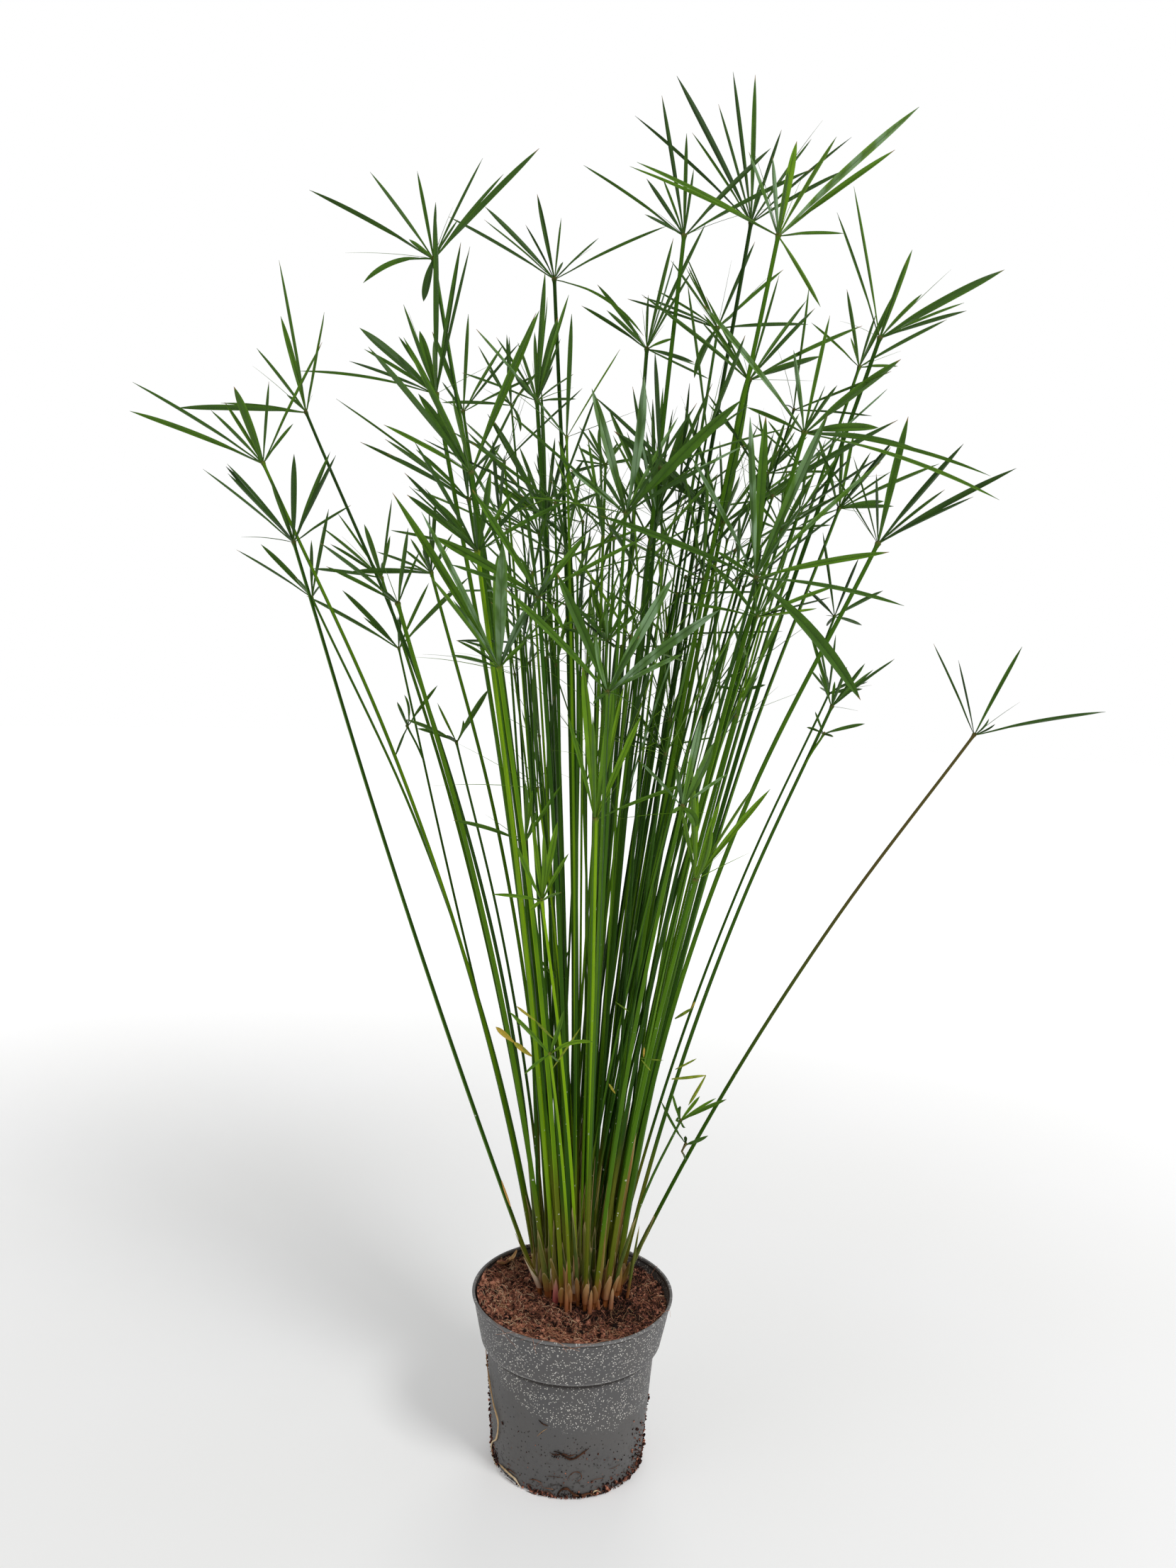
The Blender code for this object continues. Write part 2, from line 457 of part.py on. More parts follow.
def best_leaf(candidates, siblings, obstacles, owner):
    """The first candidate that is clear of everything, or else the one with the most room; and its room."""
    best = None
    for leaf in candidates:
        room = leaf_room(leaf, siblings, obstacles, owner)
        if best is None or room > best[1]:
            best = leaf, room
        if room > 0:
            break
    return best


def seen_leaf(hub, seen, number, axes):
    """The ways in which a leaf can lean forward or back behind its seen place."""
    right, up, width = seen[:3]
    length = math.hypot(right, up) * CM
    arch = seen[3] * CM if len(seen) > 3 else LEAF_ARCH * length
    for depth in DEPTHS:
        back = depth * min(length, DEEPEST_FOR) * (-1) ** number
        tip = hub + Vector((right * CM, back, up * CM))
        yield leaf_between(hub, tip, width * MM, arch, axes)


def filling_leaf(hub, turn, length, rising, axes):
    """The ways in which a small leaf can rise from the middle of a gap in the whorl."""
    outward = axes[1] * math.cos(turn) + axes[2] * math.sin(turn)
    for change in (0, 12, -12, 24, -24, 36, -36):
        rise = math.radians(rising + change)
        tip = hub + (outward * math.cos(rise) + axes[0] * math.sin(rise)) * length
        yield leaf_between(hub, tip, FILLER_WIDTH, LEAF_ARCH * length, axes)


def widest_gap(leaves):
    """The start and the size of the widest empty angle in a whorl."""
    turns = sorted(leaf.turn for leaf in leaves)
    gaps = [(after - before) % (2 * math.pi) for before, after in zip(turns, turns[1:] + turns[:1])]
    return max(zip(gaps, turns))


def plan_whorl(hub, seen_leaves, filler, axes, obstacles, owner, chance):
    """The leaves of one crown, in the order in which they stand round the hub."""
    leaves = []
    for number, seen in enumerate(seen_leaves):
        leaf, _ = best_leaf(seen_leaf(hub, seen, number, axes), leaves, obstacles, owner)
        leaves.append(leaf)
    usual = sum((leaf.tip - hub).length for leaf in leaves) / len(leaves)
    while widest_gap(leaves)[0] > WIDEST_GAP:
        size, start = widest_gap(leaves)
        turn = start + size * chance.uniform(0.42, 0.58)
        length = usual * chance.uniform(*filler)
        fillers = filling_leaf(hub, turn, length, chance.uniform(15, 50), axes)
        leaf, room = best_leaf(fillers, leaves, obstacles, owner)
        if room < 0:
            break
        leaves.append(leaf)
    for leaf in leaves:
        points = [leaf.point(along) for along in (0, 0.3, 0.55, 0.8, 1)]
        obstacles.add(points, leaf_half_widths(leaf), owner)
    return sorted(leaves, key=lambda leaf: leaf.turn)


def ring(mesh, centre, axes, radius, turns):
    return [mesh.verts.new(centre + (axes[1] * math.cos(turn) + axes[2] * math.sin(turn)) * radius)
            for turn in turns]


def bridge(mesh, lower, upper):
    """Side faces between two rings that run anticlockwise, each pair folded so that it bulges out."""
    for index, first in enumerate(lower):
        after = (index + 1) % len(lower)
        second, third, fourth = lower[after], upper[after], upper[index]
        slope = (second.co - first.co).cross(third.co - first.co)
        if slope.dot(fourth.co - first.co) < 0:
            mesh.faces.new((first, second, third))
            mesh.faces.new((first, third, fourth))
        else:
            mesh.faces.new((first, second, fourth))
            mesh.faces.new((second, third, fourth))


def stitch(mesh, lower, lower_turns, upper, upper_turns):
    """Side triangles between two rings that differ in their number of corners."""
    low, high = 0, min(range(len(upper)), key=lambda index: apart(upper_turns[index], lower_turns[0]))
    first_high = high
    low_steps, high_steps = len(lower), len(upper)
    while low_steps or high_steps:
        next_low = (lower_turns[(low + 1) % len(lower)] - lower_turns[0]) % (2 * math.pi)
        next_high = (upper_turns[(high + 1) % len(upper)] - upper_turns[first_high]) % (2 * math.pi)
        next_low = next_low or 2 * math.pi
        next_high = next_high or 2 * math.pi
        if not high_steps or (low_steps and next_low <= next_high):
            mesh.faces.new((lower[low], lower[(low + 1) % len(lower)], upper[high]))
            low = (low + 1) % len(lower)
            low_steps -= 1
        else:
            mesh.faces.new((lower[low], upper[(high + 1) % len(upper)], upper[high]))
            high = (high + 1) % len(upper)
            high_steps -= 1


def leaf_blade(mesh, leaf, corners, axes):
    """A keeled blade from its three root corners (two edges, then the keel) out to a point."""
    outward = axes[1] * math.cos(leaf.turn) + axes[2] * math.sin(leaf.turn)
    across = axes[0].cross(outward)
    arch = (leaf.control - (leaf.root + leaf.tip) / 2).length / 2
    stations = ((WIDEST, 1.0), (SHOULDER, 0.7)) if arch > ARCHING else ((WIDEST, 1.0),)
    section = corners
    for along, share in stations:
        centre = leaf.point(along)
        direction = (leaf.point(along + 0.05) - leaf.point(along - 0.05)).normalized()
        flat = direction.cross(Vector((0, 1, 0)))
        if flat.dot(across) < 0:
            flat.negate()
        side = across.lerp(flat.normalized(), FACING * min(1, flat.length * 2))
        side = (side - direction * side.dot(direction)).normalized()
        under = side.cross(direction)
        half = leaf.width / 2 * share
        places = (centre + side * half, centre - side * half, centre + under * KEEL * leaf.width * share)
        upper = [mesh.verts.new(place) for place in places]
        bridge(mesh, section, upper)
        section = upper
    tip = mesh.verts.new(leaf.tip)
    for index, corner in enumerate(section):
        mesh.faces.new((corner, section[(index + 1) % 3], tip))


def whorl(mesh, below, below_turns, hub, radius, leaves, axes):
    """The hub on top of a stem's last ring, and the leaves that spread from it."""
    turns = [leaf.turn for leaf in leaves]
    between = [turn + ((after - turn) % (2 * math.pi)) / 2
               for turn, after in zip(turns, turns[1:] + turns[:1])]
    keels = ring(mesh, hub - axes[0] * HUB_DROP, axes, radius * KEEL_FLARE, turns)
    edges = ring(mesh, hub + axes[0] * HUB_RISE, axes, radius * EDGE_FLARE, between)
    stitch(mesh, below, below_turns, keels, turns)
    for index, leaf in enumerate(leaves):
        after = (index + 1) % len(leaves)
        mesh.faces.new((keels[index], keels[after], edges[index]))
        leaf_blade(mesh, leaf, [edges[index], edges[index - 1], keels[index]], axes)
    mesh.faces.new(edges)


def stem(mesh, line, radii):
    """A three-sided stem along a line, open at its top, and its last ring's corners and azimuths."""
    turns = [math.pi / 2 + index * 2 * math.pi / 3 for index in range(3)]
    section = None
    for index, (place, radius) in enumerate(zip(line, radii)):
        before, after = line[max(index - 1, 0)], line[min(index + 1, len(line) - 1)]
        ahead = line[1] - line[0] if index < 2 else after - before
        corners = ring(mesh, place, axes_along(ahead), radius * CULM_CORNER, turns)
        if section:
            bridge(mesh, section, corners)
        else:
            mesh.faces.new(reversed(corners))
        section = corners
    return section, turns


def object_of(mesh, name, collection, material):
    """A mesh turned into an object of the plant."""
    bmesh.ops.recalc_face_normals(mesh, faces=mesh.faces)
    bmesh.ops.triangulate(mesh, faces=mesh.faces)
    data = bpy.data.meshes.new(name)
    mesh.to_mesh(data)
    mesh.free()
    data.shade_smooth()
    data.set_sharp_from_angle(angle=math.radians(35))
    data.materials.append(material)
    made = bpy.data.objects.new(name, data)
    collection.objects.link(made)
    return made


def joined(base, branch):
    """Base with branch grown onto it, as one closed body."""
    union = base.modifiers.new("grown together", "BOOLEAN")
    union.operation = "UNION"
    union.object = branch
    bpy.context.view_layer.update()
    merged = bpy.data.meshes.new_from_object(base.evaluated_get(bpy.context.evaluated_depsgraph_get()))
    base.modifiers.clear()
    base.data = merged
    bpy.data.objects.remove(branch)


def make_shoots(collection, material):
    """All the shoots, and the lines of their culms."""
    obstacles = Obstacles()
    lines = plan_culms(obstacles)
    chance = random.Random(7)
    for owner, (shoot, line) in enumerate(zip(SHOOTS, lines)):
        axes = axes_along(line[-1] - line[-2])
        leaves = plan_whorl(line[-1], shoot.leaves, shoot.filler, axes, obstacles, owner, chance)
        radii = culm_radii(shoot)
        mesh = bmesh.new()
        neck = line[-1] - axes[0] * HUB_DROP * 2
        section, turns = stem(mesh, line[:-1] + [neck], radii)
        whorl(mesh, section, turns, line[-1], radii[-1], leaves, axes)
        made = object_of(mesh, shoot.name, collection, material)
        if shoot.side:
            joined(made, side_shoot(shoot, line, obstacles, owner, chance, collection, material))
    return lines


def side_shoot(shoot, line, obstacles, owner, chance, collection, material):
    """A small crown on a thin stalk that starts inside the culm."""
    crown = Vector(shoot.side_crown) * CM
    beneath = [place for place in line if place.z < crown.z - 3 * CM]
    low, high = beneath[-1], line[len(beneath)]
    share = (crown.z - 3 * CM - low.z) / (high.z - low.z)
    start = low.lerp(high, share)
    axes = axes_along(crown - start)
    leaves = plan_whorl(crown, shoot.side, shoot.filler, axes, obstacles, owner, chance)
    radius = SLENDER.top * MM
    mesh = bmesh.new()
    section, turns = stem(mesh, [start, crown - axes[0] * HUB_DROP * 2], [radius, radius])
    whorl(mesh, section, turns, crown, radius, leaves, axes)
    return object_of(mesh, shoot.name + "_side", collection, material)


def turned(name, profile, collection, material, sides=POT_SIDES):
    """A turned solid: its profile runs up inside or over the top, then down its outer side."""
    data = bpy.data.meshes.new(name)
    data.from_pydata([(radius, 0, height) for radius, height in profile],
                     [(index, index + 1) for index in range(len(profile) - 1)], [])
    data.materials.append(material)
    made = bpy.data.objects.new(name, data)
    collection.objects.link(made)
    screw = made.modifiers.new("turned", "SCREW")
    screw.steps = screw.render_steps = sides
    screw.use_merge_vertices = True
    screw.merge_threshold = 0.00005
    screw.use_normal_calculate = False
    return made


def make_young_shoot(collection, material):
    """The pointed bud, with its foot in a socket."""
    profile = [(share * YOUNG_RADIUS, height * YOUNG_HEIGHT) for share, height in YOUNG_OUTLINE]
    foot = profile[-1][0]
    bud = turned("young_shoot", profile + [(foot, -SOCKET_DEPTH), (0, -SOCKET_DEPTH)], collection, material,
                 YOUNG_SIDES)
    bud.location = (*YOUNG_FOOT, SOIL_TOP)


def make_dry_leaf(collection, material):
    """A dead leaf, curled along its length, that lies in the angle of the soil and the collar."""
    strip = bmesh.new()
    rows = []
    stations = 7
    for step in range(stations):
        along = step / (stations - 1) * 2 - 1
        width = DRY_WIDTH * (1 - 0.75 * along**2)
        bend = along * DRY_CURL / 2
        radius = DRY_LENGTH / DRY_CURL
        middle = Vector((radius * math.sin(bend), 0, radius * (1 - math.cos(bend))))
        side = Vector((0, 1, 0.5)).normalized() * width / 2
        rows.append([strip.verts.new(middle + side * across + Vector((0, 0, 1.5 * MM * across**2)))
                     for across in (-1, 0, 1)])
    for row, after in zip(rows, rows[1:]):
        for index in range(2):
            strip.faces.new((row[index], after[index], after[index + 1], row[index + 1]))
    data = bpy.data.meshes.new("dry_leaf")
    strip.to_mesh(data)
    strip.free()
    data.shade_smooth()
    data.materials.append(material)
    leaf = bpy.data.objects.new("dry_leaf", data)
    leaf.location = DRY_PLACE
    leaf.rotation_euler.z = math.atan2(DRY_PLACE.y, DRY_PLACE.x) + math.pi / 2
    collection.objects.link(leaf)
    thick = leaf.modifiers.new("thickness", "SOLIDIFY")
    thick.thickness = DRY_THICK
    thick.offset = 0


def pot_profile():
    """Floor, inner wall, lip, tapering collar, step and body, in that order."""
    inner_step = COLLAR_FOOT + WALL
    return [
        (0, FLOOR), (BASE_RADIUS - WALL, FLOOR), (BODY_TOP_RADIUS - WALL, inner_step),
        (COLLAR_FOOT_RADIUS - WALL, inner_step + WALL), (RIM_RADIUS - WALL * 1.6, POT_HEIGHT - 1.2 * MM),
        (RIM_RADIUS - WALL * 1.2, POT_HEIGHT), (RIM_RADIUS - 0.4 * MM, POT_HEIGHT),
        (RIM_RADIUS, POT_HEIGHT - 0.6 * MM), (RIM_RADIUS, POT_HEIGHT - LIP_DROP),
        (RIM_RADIUS - 1.4 * MM, POT_HEIGHT - LIP_DROP - MM), (COLLAR_FOOT_RADIUS, COLLAR_FOOT),
        (BODY_TOP_RADIUS, COLLAR_FOOT - 0.6 * MM), (BASE_RADIUS, 2.5 * MM), (BASE_RADIUS - 1.5 * MM, 0),
        (0, 0),
    ]


def inner_radius(height):
    """The soil's radius at a height above the pot's inner step."""
    low, high = COLLAR_FOOT + 2 * WALL, POT_HEIGHT - 1.2 * MM
    share = (height - low) / (high - low)
    return (COLLAR_FOOT_RADIUS - WALL) * (1 - share) + (RIM_RADIUS - WALL * 1.6) * share - GAP


def soil_rise(place):
    """How far the soil's surface lies over its level at a place outside the clump."""
    heap = -(place.x + place.y) / (2 * RIM_RADIUS) * SOIL_HEAP
    lumps = noise.noise(Vector((place.x, place.y, 0)) / LUMP_SIZE) * LUMP_HEIGHT
    return heap + lumps


def shape_surface(mesh):
    """Moves the surface's rings over to the clump, and raises the soil in lumps round it."""
    wall = inner_radius(SOIL_TOP)
    for corner in mesh.verts:
        if corner.co.z < SOIL_TOP - MM:
            continue
        radius = corner.co.xy.length
        if radius > SOIL_RINGS[-1] + 0.1 * MM:
            corner.co.z += soil_rise(corner.co)
        if radius > SOIL_RINGS[0] + 0.1 * MM:
            corner.co.xy *= inner_radius(corner.co.z) / radius
        else:
            corner.co.xy += CLUMP_CENTRE * (1 - radius / wall)
    bmesh.ops.dissolve_limit(mesh, angle_limit=math.radians(0.1), verts=mesh.verts, edges=mesh.edges)


def make_soil(feet, collection, cutters, material):
    """The soil plug, lumpy on top, with a three-sided socket for each culm."""
    step = COLLAR_FOOT + 2 * WALL + 2 * GAP
    profile = [(0, SOIL_TOP)] + [(radius, SOIL_TOP) for radius in reversed(SOIL_RINGS)]
    profile += [(inner_radius(SOIL_TOP), SOIL_TOP), (inner_radius(step), step),
                (BODY_TOP_RADIUS - WALL - GAP, COLLAR_FOOT + WALL + 2 * GAP),
                (BASE_RADIUS - WALL - GAP, FLOOR + GAP), (0, FLOOR + GAP)]
    plug = turned("soil", profile, collection, material)
    bpy.context.view_layer.update()
    data = bpy.data.meshes.new_from_object(plug.evaluated_get(bpy.context.evaluated_depsgraph_get()))
    plug.modifiers.clear()
    plug.data = data
    surface = bmesh.new()
    surface.from_mesh(data)
    shape_surface(surface)
    surface.to_mesh(data)
    surface.free()
    holes = bmesh.new()
    for foot, radius, sides in feet:
        grown = radius + SOCKET_ROOM * 2
        depth = SOCKET_DEPTH + 8 * MM
        middle = Matrix.Translation((foot.x, foot.y, SOIL_TOP - SOCKET_DEPTH - GAP + depth / 2))
        bmesh.ops.create_cone(holes, cap_ends=True, segments=sides, radius1=grown, radius2=grown, depth=depth,
                              matrix=middle)
    data = bpy.data.meshes.new("sockets")
    holes.to_mesh(data)
    holes.free()
    cutter = bpy.data.objects.new("sockets", data)
    cutters.objects.link(cutter)
    cutter.hide_render = True
    cutter.display_type = "WIRE"
    cut = plug.modifiers.new("sockets", "BOOLEAN")
    cut.operation = "DIFFERENCE"
    cut.object = cutter
    return plug


def painted(name, colour, roughness):
    """A plain Principled material."""
    material = bpy.data.materials.new(name)
    material.use_nodes = True
    shader = material.node_tree.nodes["Principled BSDF"]
    shader.inputs["Base Color"].default_value = (*colour, 1)
    shader.inputs["Roughness"].default_value = roughness
    shader.inputs["Metallic"].default_value = 0
    material.diffuse_color = (*colour, 1)
    return material


def collection_of(name):
    made = bpy.data.collections.new(name)
    bpy.context.scene.collection.children.link(made)
    return made


def main():
    for old in list(bpy.data.objects):
        bpy.data.objects.remove(old)
    plant = collection_of("potted papyrus")
    cutters = collection_of("cutters")
    leaf_green = painted("leaf green", (0.06, 0.16, 0.03), 0.45)
    pot_grey = painted("speckled grey plastic", (0.10, 0.10, 0.11), 0.6)
    coir = painted("coir", (0.07, 0.03, 0.02), 0.95)
    bud_pink = painted("young shoot pink", (0.45, 0.12, 0.10), 0.5)
    dry_tan = painted("dry leaf tan", (0.42, 0.25, 0.11), 0.8)
    turned("pot", pot_profile(), plant, pot_grey)
    lines = make_shoots(plant, leaf_green)
    make_young_shoot(plant, bud_pink)
    make_dry_leaf(plant, dry_tan)
    feet = [(line[0], shoot.girth.foot * MM * CULM_CORNER, 3) for shoot, line in zip(SHOOTS, lines)]
    feet.append((YOUNG_FOOT, YOUNG_RADIUS, YOUNG_SIDES))
    make_soil(feet, plant, cutters, coir)


main()
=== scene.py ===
"""The looks of a potted papyrus: fine leaves, ribbed culms, sheaths, a speckled pot and coir soil.

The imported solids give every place. Each shoot's culm, crowns and leaves are read from its solid and
made again with their real sections, and the pot, soil, young shoot and dry leaf stand where theirs do.
Lengths are metres, +Z is up and -Y is the front.
"""

import sys
import logging
import math
from dataclasses import dataclass, field
from enum import Enum
from typing import Any, Sequence

import bmesh
import bpy
import numpy as np
from mathutils import Matrix, Vector, noise


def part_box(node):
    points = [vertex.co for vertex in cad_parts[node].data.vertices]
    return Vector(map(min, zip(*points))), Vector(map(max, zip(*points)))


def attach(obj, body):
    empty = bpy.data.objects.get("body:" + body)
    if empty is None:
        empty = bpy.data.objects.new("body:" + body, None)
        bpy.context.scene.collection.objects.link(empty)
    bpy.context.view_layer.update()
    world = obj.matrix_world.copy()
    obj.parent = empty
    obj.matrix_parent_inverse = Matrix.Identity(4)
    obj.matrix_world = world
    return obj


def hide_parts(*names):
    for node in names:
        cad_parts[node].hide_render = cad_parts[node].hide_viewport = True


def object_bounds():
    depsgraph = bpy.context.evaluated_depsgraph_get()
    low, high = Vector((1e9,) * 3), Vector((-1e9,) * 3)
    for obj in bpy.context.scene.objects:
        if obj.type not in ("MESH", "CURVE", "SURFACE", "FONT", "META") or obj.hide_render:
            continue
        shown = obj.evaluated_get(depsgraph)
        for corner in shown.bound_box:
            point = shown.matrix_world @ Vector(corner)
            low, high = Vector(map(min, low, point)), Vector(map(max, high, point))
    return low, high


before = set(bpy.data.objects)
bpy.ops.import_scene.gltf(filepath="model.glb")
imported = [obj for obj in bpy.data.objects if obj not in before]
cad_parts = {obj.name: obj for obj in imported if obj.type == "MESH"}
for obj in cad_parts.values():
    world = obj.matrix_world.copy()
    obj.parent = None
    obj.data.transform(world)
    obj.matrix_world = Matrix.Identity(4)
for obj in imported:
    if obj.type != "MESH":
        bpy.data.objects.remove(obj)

CAD_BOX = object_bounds()

Array = np.ndarray
Chance = np.random.Generator
Material = bpy.types.Material
Socket = bpy.types.NodeSocket
Colour = tuple[float, float, float]
Pair = tuple[float, float]
Place = tuple[float, float, float]
Stops = tuple[tuple[float, Colour], ...]  # places on a ramp and their colours
Section = set[int]  # a solid's corners round a stem or a leaf
Leaf = tuple[int, list[Section]]  # the corner at a leaf's point, and the sections from there to the hub

MM = 0.001
CM = 0.01
TURN = 2 * math.pi
TINY = 1e-9
WELD = 1e-5  # corners of a solid that lie closer than this are one
SOIL_TOP = 153 * MM
UP = np.array([0.0, 0.0, 1.0])
FRONT = np.array([0.0, -1.0, 0.0])
MARKS = ("along", "across", "tone", "upper", "pale")

# How the solids plan a shoot.
WIDEST = 0.45  # where along a leaf its solid has its widest section
NECK = 7 * MM  # how far a crown's hub lies over the culm's last ring
SIDE_GIRTH = 0.9 * MM  # the radius of a neck that leaves have grown into, so that it can't be read
STATION = 18 * MM  # how far apart a culm's rings stand
POINTED = 1.8  # a leaf's point stands off its last section by more than this many times its size
WHORL = 12 * MM  # leaves whose lowest sections lie closer than this grow from one hub
CORNER = 1.2  # a culm solid's corners reach past its mean radius by this factor
CULM_FLAT = 0.78  # how far a real culm's sides stand from its line, as a share of the mean radius
CULM_EDGE = 1.10  # the same for its rounded edges
BOX_ROOM = 1 * MM  # how far leaves without a solid stay inside the solids' box
HANGING = 0.22  # a leaf that bows by more than this share of its length is one that hangs
STIFFNESS = 0.45  # how much of its solid's bow a stiff leaf keeps
SLACKNESS = 0.75  # the same for one that hangs
ROUGHNESS = 0.28  # how far a crumb's corners stand off its round form, as a share of its size

log = logging.getLogger("papyrus")


# ---- lines and sections


def seeded(seed: int) -> Any:
    """A field that holds a source of chances with that seed."""
    return field(default_factory=lambda: np.random.default_rng(seed))


def unit(vectors: Array) -> Array:
    """Vectors of length one in the same directions."""
    return vectors / np.maximum(np.linalg.norm(vectors, axis=-1, keepdims=True), TINY)


def smooth_step(share: Array) -> Array:
    """A share from 0 to 1 that starts and ends level."""
    return share * share * (3 - 2 * share)


def arch(start: Array, control: Array, end: Array, along: Array) -> Array:
    """Places at shares of a curve from start to end, both of whose ends are in line with control."""
    share = along[:, None]
    return start * (1 - share) ** 2 + control * (2 * share * (1 - share)) + end * share**2


def smooth_line(points: Array, count: int) -> Array:
    """A smooth line through points.

    Args:
        points: The places that it passes, in order.
        count: How many places it is given with.

    Returns:
        The line's places, evenly spaced along it.
    """
    runs = np.linalg.norm(np.diff(points, axis=0), axis=1)
    marks = np.concatenate([[0], np.cumsum(runs)])
    slopes = np.gradient(points, marks, axis=0)
    where = np.linspace(0, marks[-1], count)
    index = np.clip(np.searchsorted(marks, where, side="right") - 1, 0, len(runs) - 1)
    span = runs[index][:, None]
    share = (where - marks[index])[:, None] / span
    rise = smooth_step(share)
    bend = share * (1 - share)
    return (points[index] * (1 - rise) + points[index + 1] * rise
            + (slopes[index] * (1 - share) - slopes[index + 1] * share) * bend * span)


def frames_along(line: Array) -> tuple[Array, Array]:
    """Two directions across a line at each of its places, turning as little as they can.

    Args:
        line: Its places.

    Returns:
        The two directions; the second is a quarter turn anticlockwise from the first.
    """
    ahead = unit(np.gradient(line, axis=0))
    start = FRONT if abs(ahead[0] @ FRONT) < 0.9 else UP
    sides = []
    side = start
    for direction in ahead:
        side = unit(side - direction * (side @ direction))
        sides.append(side)
    return np.array(sides), np.cross(ahead, np.array(sides))


def tube(line: Array, radii: Array, outline: Array, spin: float = 0.0) -> Array:
    """Rings of places round a line.

    Args:
        line: The line's places.
        radii: The mean radius at each of them.
        outline: The section's radius in each direction, as shares of the mean.
        spin: How far the whole is turned about its line.

    Returns:
        The rings' places, by station and corner.
    """
    sides, rises = frames_along(line)
    turns = np.arange(len(outline)) * TURN / len(outline) + spin
    spokes = sides[:, None] * np.cos(turns)[:, None] + rises[:, None] * np.sin(turns)[:, None]
    return line[:, None] + spokes * (radii[:, None] * outline)[..., None]


def three_sided(corners: int) -> Array:
    """The section of a culm with three flat sides, as shares of its mean radius."""
    turns = np.arange(corners) * TURN / corners
    off = (turns + TURN / 6) % (TURN / 3) - TURN / 6
    return np.minimum(CULM_FLAT / np.cos(off), CULM_EDGE)


def within_box(start: Array, end: Array) -> Array:
    """The end of a straight leaf, drawn in until it lies inside the solids' box."""
    low, high = (np.array(corner) for corner in CAD_BOX)
    run = np.where(abs(end - start) < TINY, TINY, end - start)
    room = np.where(run > 0, high - BOX_ROOM - start, low + BOX_ROOM - start) / run
    return start + run * min(1.0, max(0.2, float(room.min())))


# ---- meshes


def placed(name: str, data: bpy.types.ID) -> bpy.types.Object:
    """A new object in the scene, with that name and data."""
    made = bpy.data.objects.new(name, data)
    bpy.context.scene.collection.objects.link(made)
    return made


@dataclass
class Skin:
    """A mesh in the making, with the marks that its finishes read at each place."""

    places: list[Array] = field(default_factory=list)
    faces: list[tuple[int, ...]] = field(default_factory=list)
    looks: list[int] = field(default_factory=list)
    marks: dict[str, list[Array]] = field(default_factory=lambda: {mark: [] for mark in MARKS})
    count: int = 0

    def loft(self, rings: Array, look: int = 0, **marks: Any) -> None:
        """Adds a closed skin over rings that run anticlockwise about the way ahead.

        Args:
            rings: Places by station and corner.
            look: The number of the finish.
            **marks: What the finish reads, as numbers or arrays by station and corner.
        """
        stations, corners = rings.shape[:2]
        index = self.count + np.arange(stations * corners).reshape(stations, corners)
        after = np.roll(index, -1, axis=1)
        quads = np.stack([index[:-1], after[:-1], after[1:], index[1:]], axis=-1).reshape(-1, 4)
        faces = [tuple(quad) for quad in quads.tolist()]
        faces += [tuple(index[0, ::-1].tolist()), tuple(index[-1].tolist())]
        self.add(rings.reshape(-1, 3), faces, look, (stations, corners), marks)

    def cord(self, line: Array, radii: Array, sides: int, tone: Any) -> None:
        """Adds a round cord, such as a root or a fibre, along a line."""
        self.loft(tube(line, radii, np.ones(sides)), tone=tone)

    def add(self, places: Array, faces: list[tuple[int, ...]], look: int, shape: tuple[int, ...],
            marks: dict[str, Any]) -> None:
        """Adds places and faces that are already numbered.

        Args:
            places: The places, one a row.
            faces: Their faces, numbered from the skin's first place.
            look: The number of the finish.
            shape: The shape that the marks are given in.
            marks: What the finish reads.
        """
        self.places.append(places)
        self.faces += faces
        self.looks += [look] * len(faces)
        for mark in MARKS:
            values = np.broadcast_to(np.asarray(marks.get(mark, 0.0), float), shape)
            self.marks[mark].append(values.reshape(-1))
        self.count += len(places)

    def scatter(self, spots: Array, sizes: Array, chance: Chance, tones: Array) -> None:
        """Adds a crumb at each spot: a small ball, turned and roughened.

        Args:
            spots: Where the crumbs go.
            sizes: Half the size of each in three directions.
            chance: The source of turns and roughness.
            tones: How light each is.
        """
        form, triangles = ball()
        corners = len(form)
        turns = np.array([random_turn(chance) for _ in spots])
        rough = 1 + chance.uniform(-ROUGHNESS, ROUGHNESS, (len(spots), corners, 1))
        places = np.einsum("nij,nkj->nki", turns, form * rough * sizes[:, None]) + spots[:, None]
        faces = triangles + (np.arange(len(spots)) * corners)[:, None, None] + self.count
        self.add(places.reshape(-1, 3), [tuple(face) for face in faces.reshape(-1, 3).tolist()], 0,
                 (len(spots), corners), {"tone": tones[:, None]})

    def piece(self, name: str, finishes: Sequence[Material], slot: str, *nodes: str,
              crease: float = 35) -> bpy.types.Object:
        """Makes the skin a piece that rides on the root body.

        Args:
            name: The piece's name.
            finishes: Its materials, by the numbers that the skin's parts were given.
            slot: The record's material slot; not used.
            *nodes: The solids that it stands for.
            crease: Edges that bend more than this, in degrees, stay sharp.

        Returns:
            The piece.
        """
        mesh = bpy.data.meshes.new(name)
        mesh.from_pydata(np.concatenate(self.places).tolist(), [], self.faces)
        for finish in finishes:
            mesh.materials.append(finish)
        mesh.polygons.foreach_set("material_index", self.looks)
        for mark, values in self.marks.items():
            attribute = mesh.attributes.new(mark, "FLOAT", "POINT")
            attribute.data.foreach_set("value", np.concatenate(values).astype(np.float32))
        mesh.shade_smooth()
        mesh.set_sharp_from_angle(angle=math.radians(crease))
        made = placed(name, mesh)
        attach(made, "root")
        if nodes:
            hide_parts(*nodes)
        log.info("%s: %d faces", name, len(self.faces))
        return made


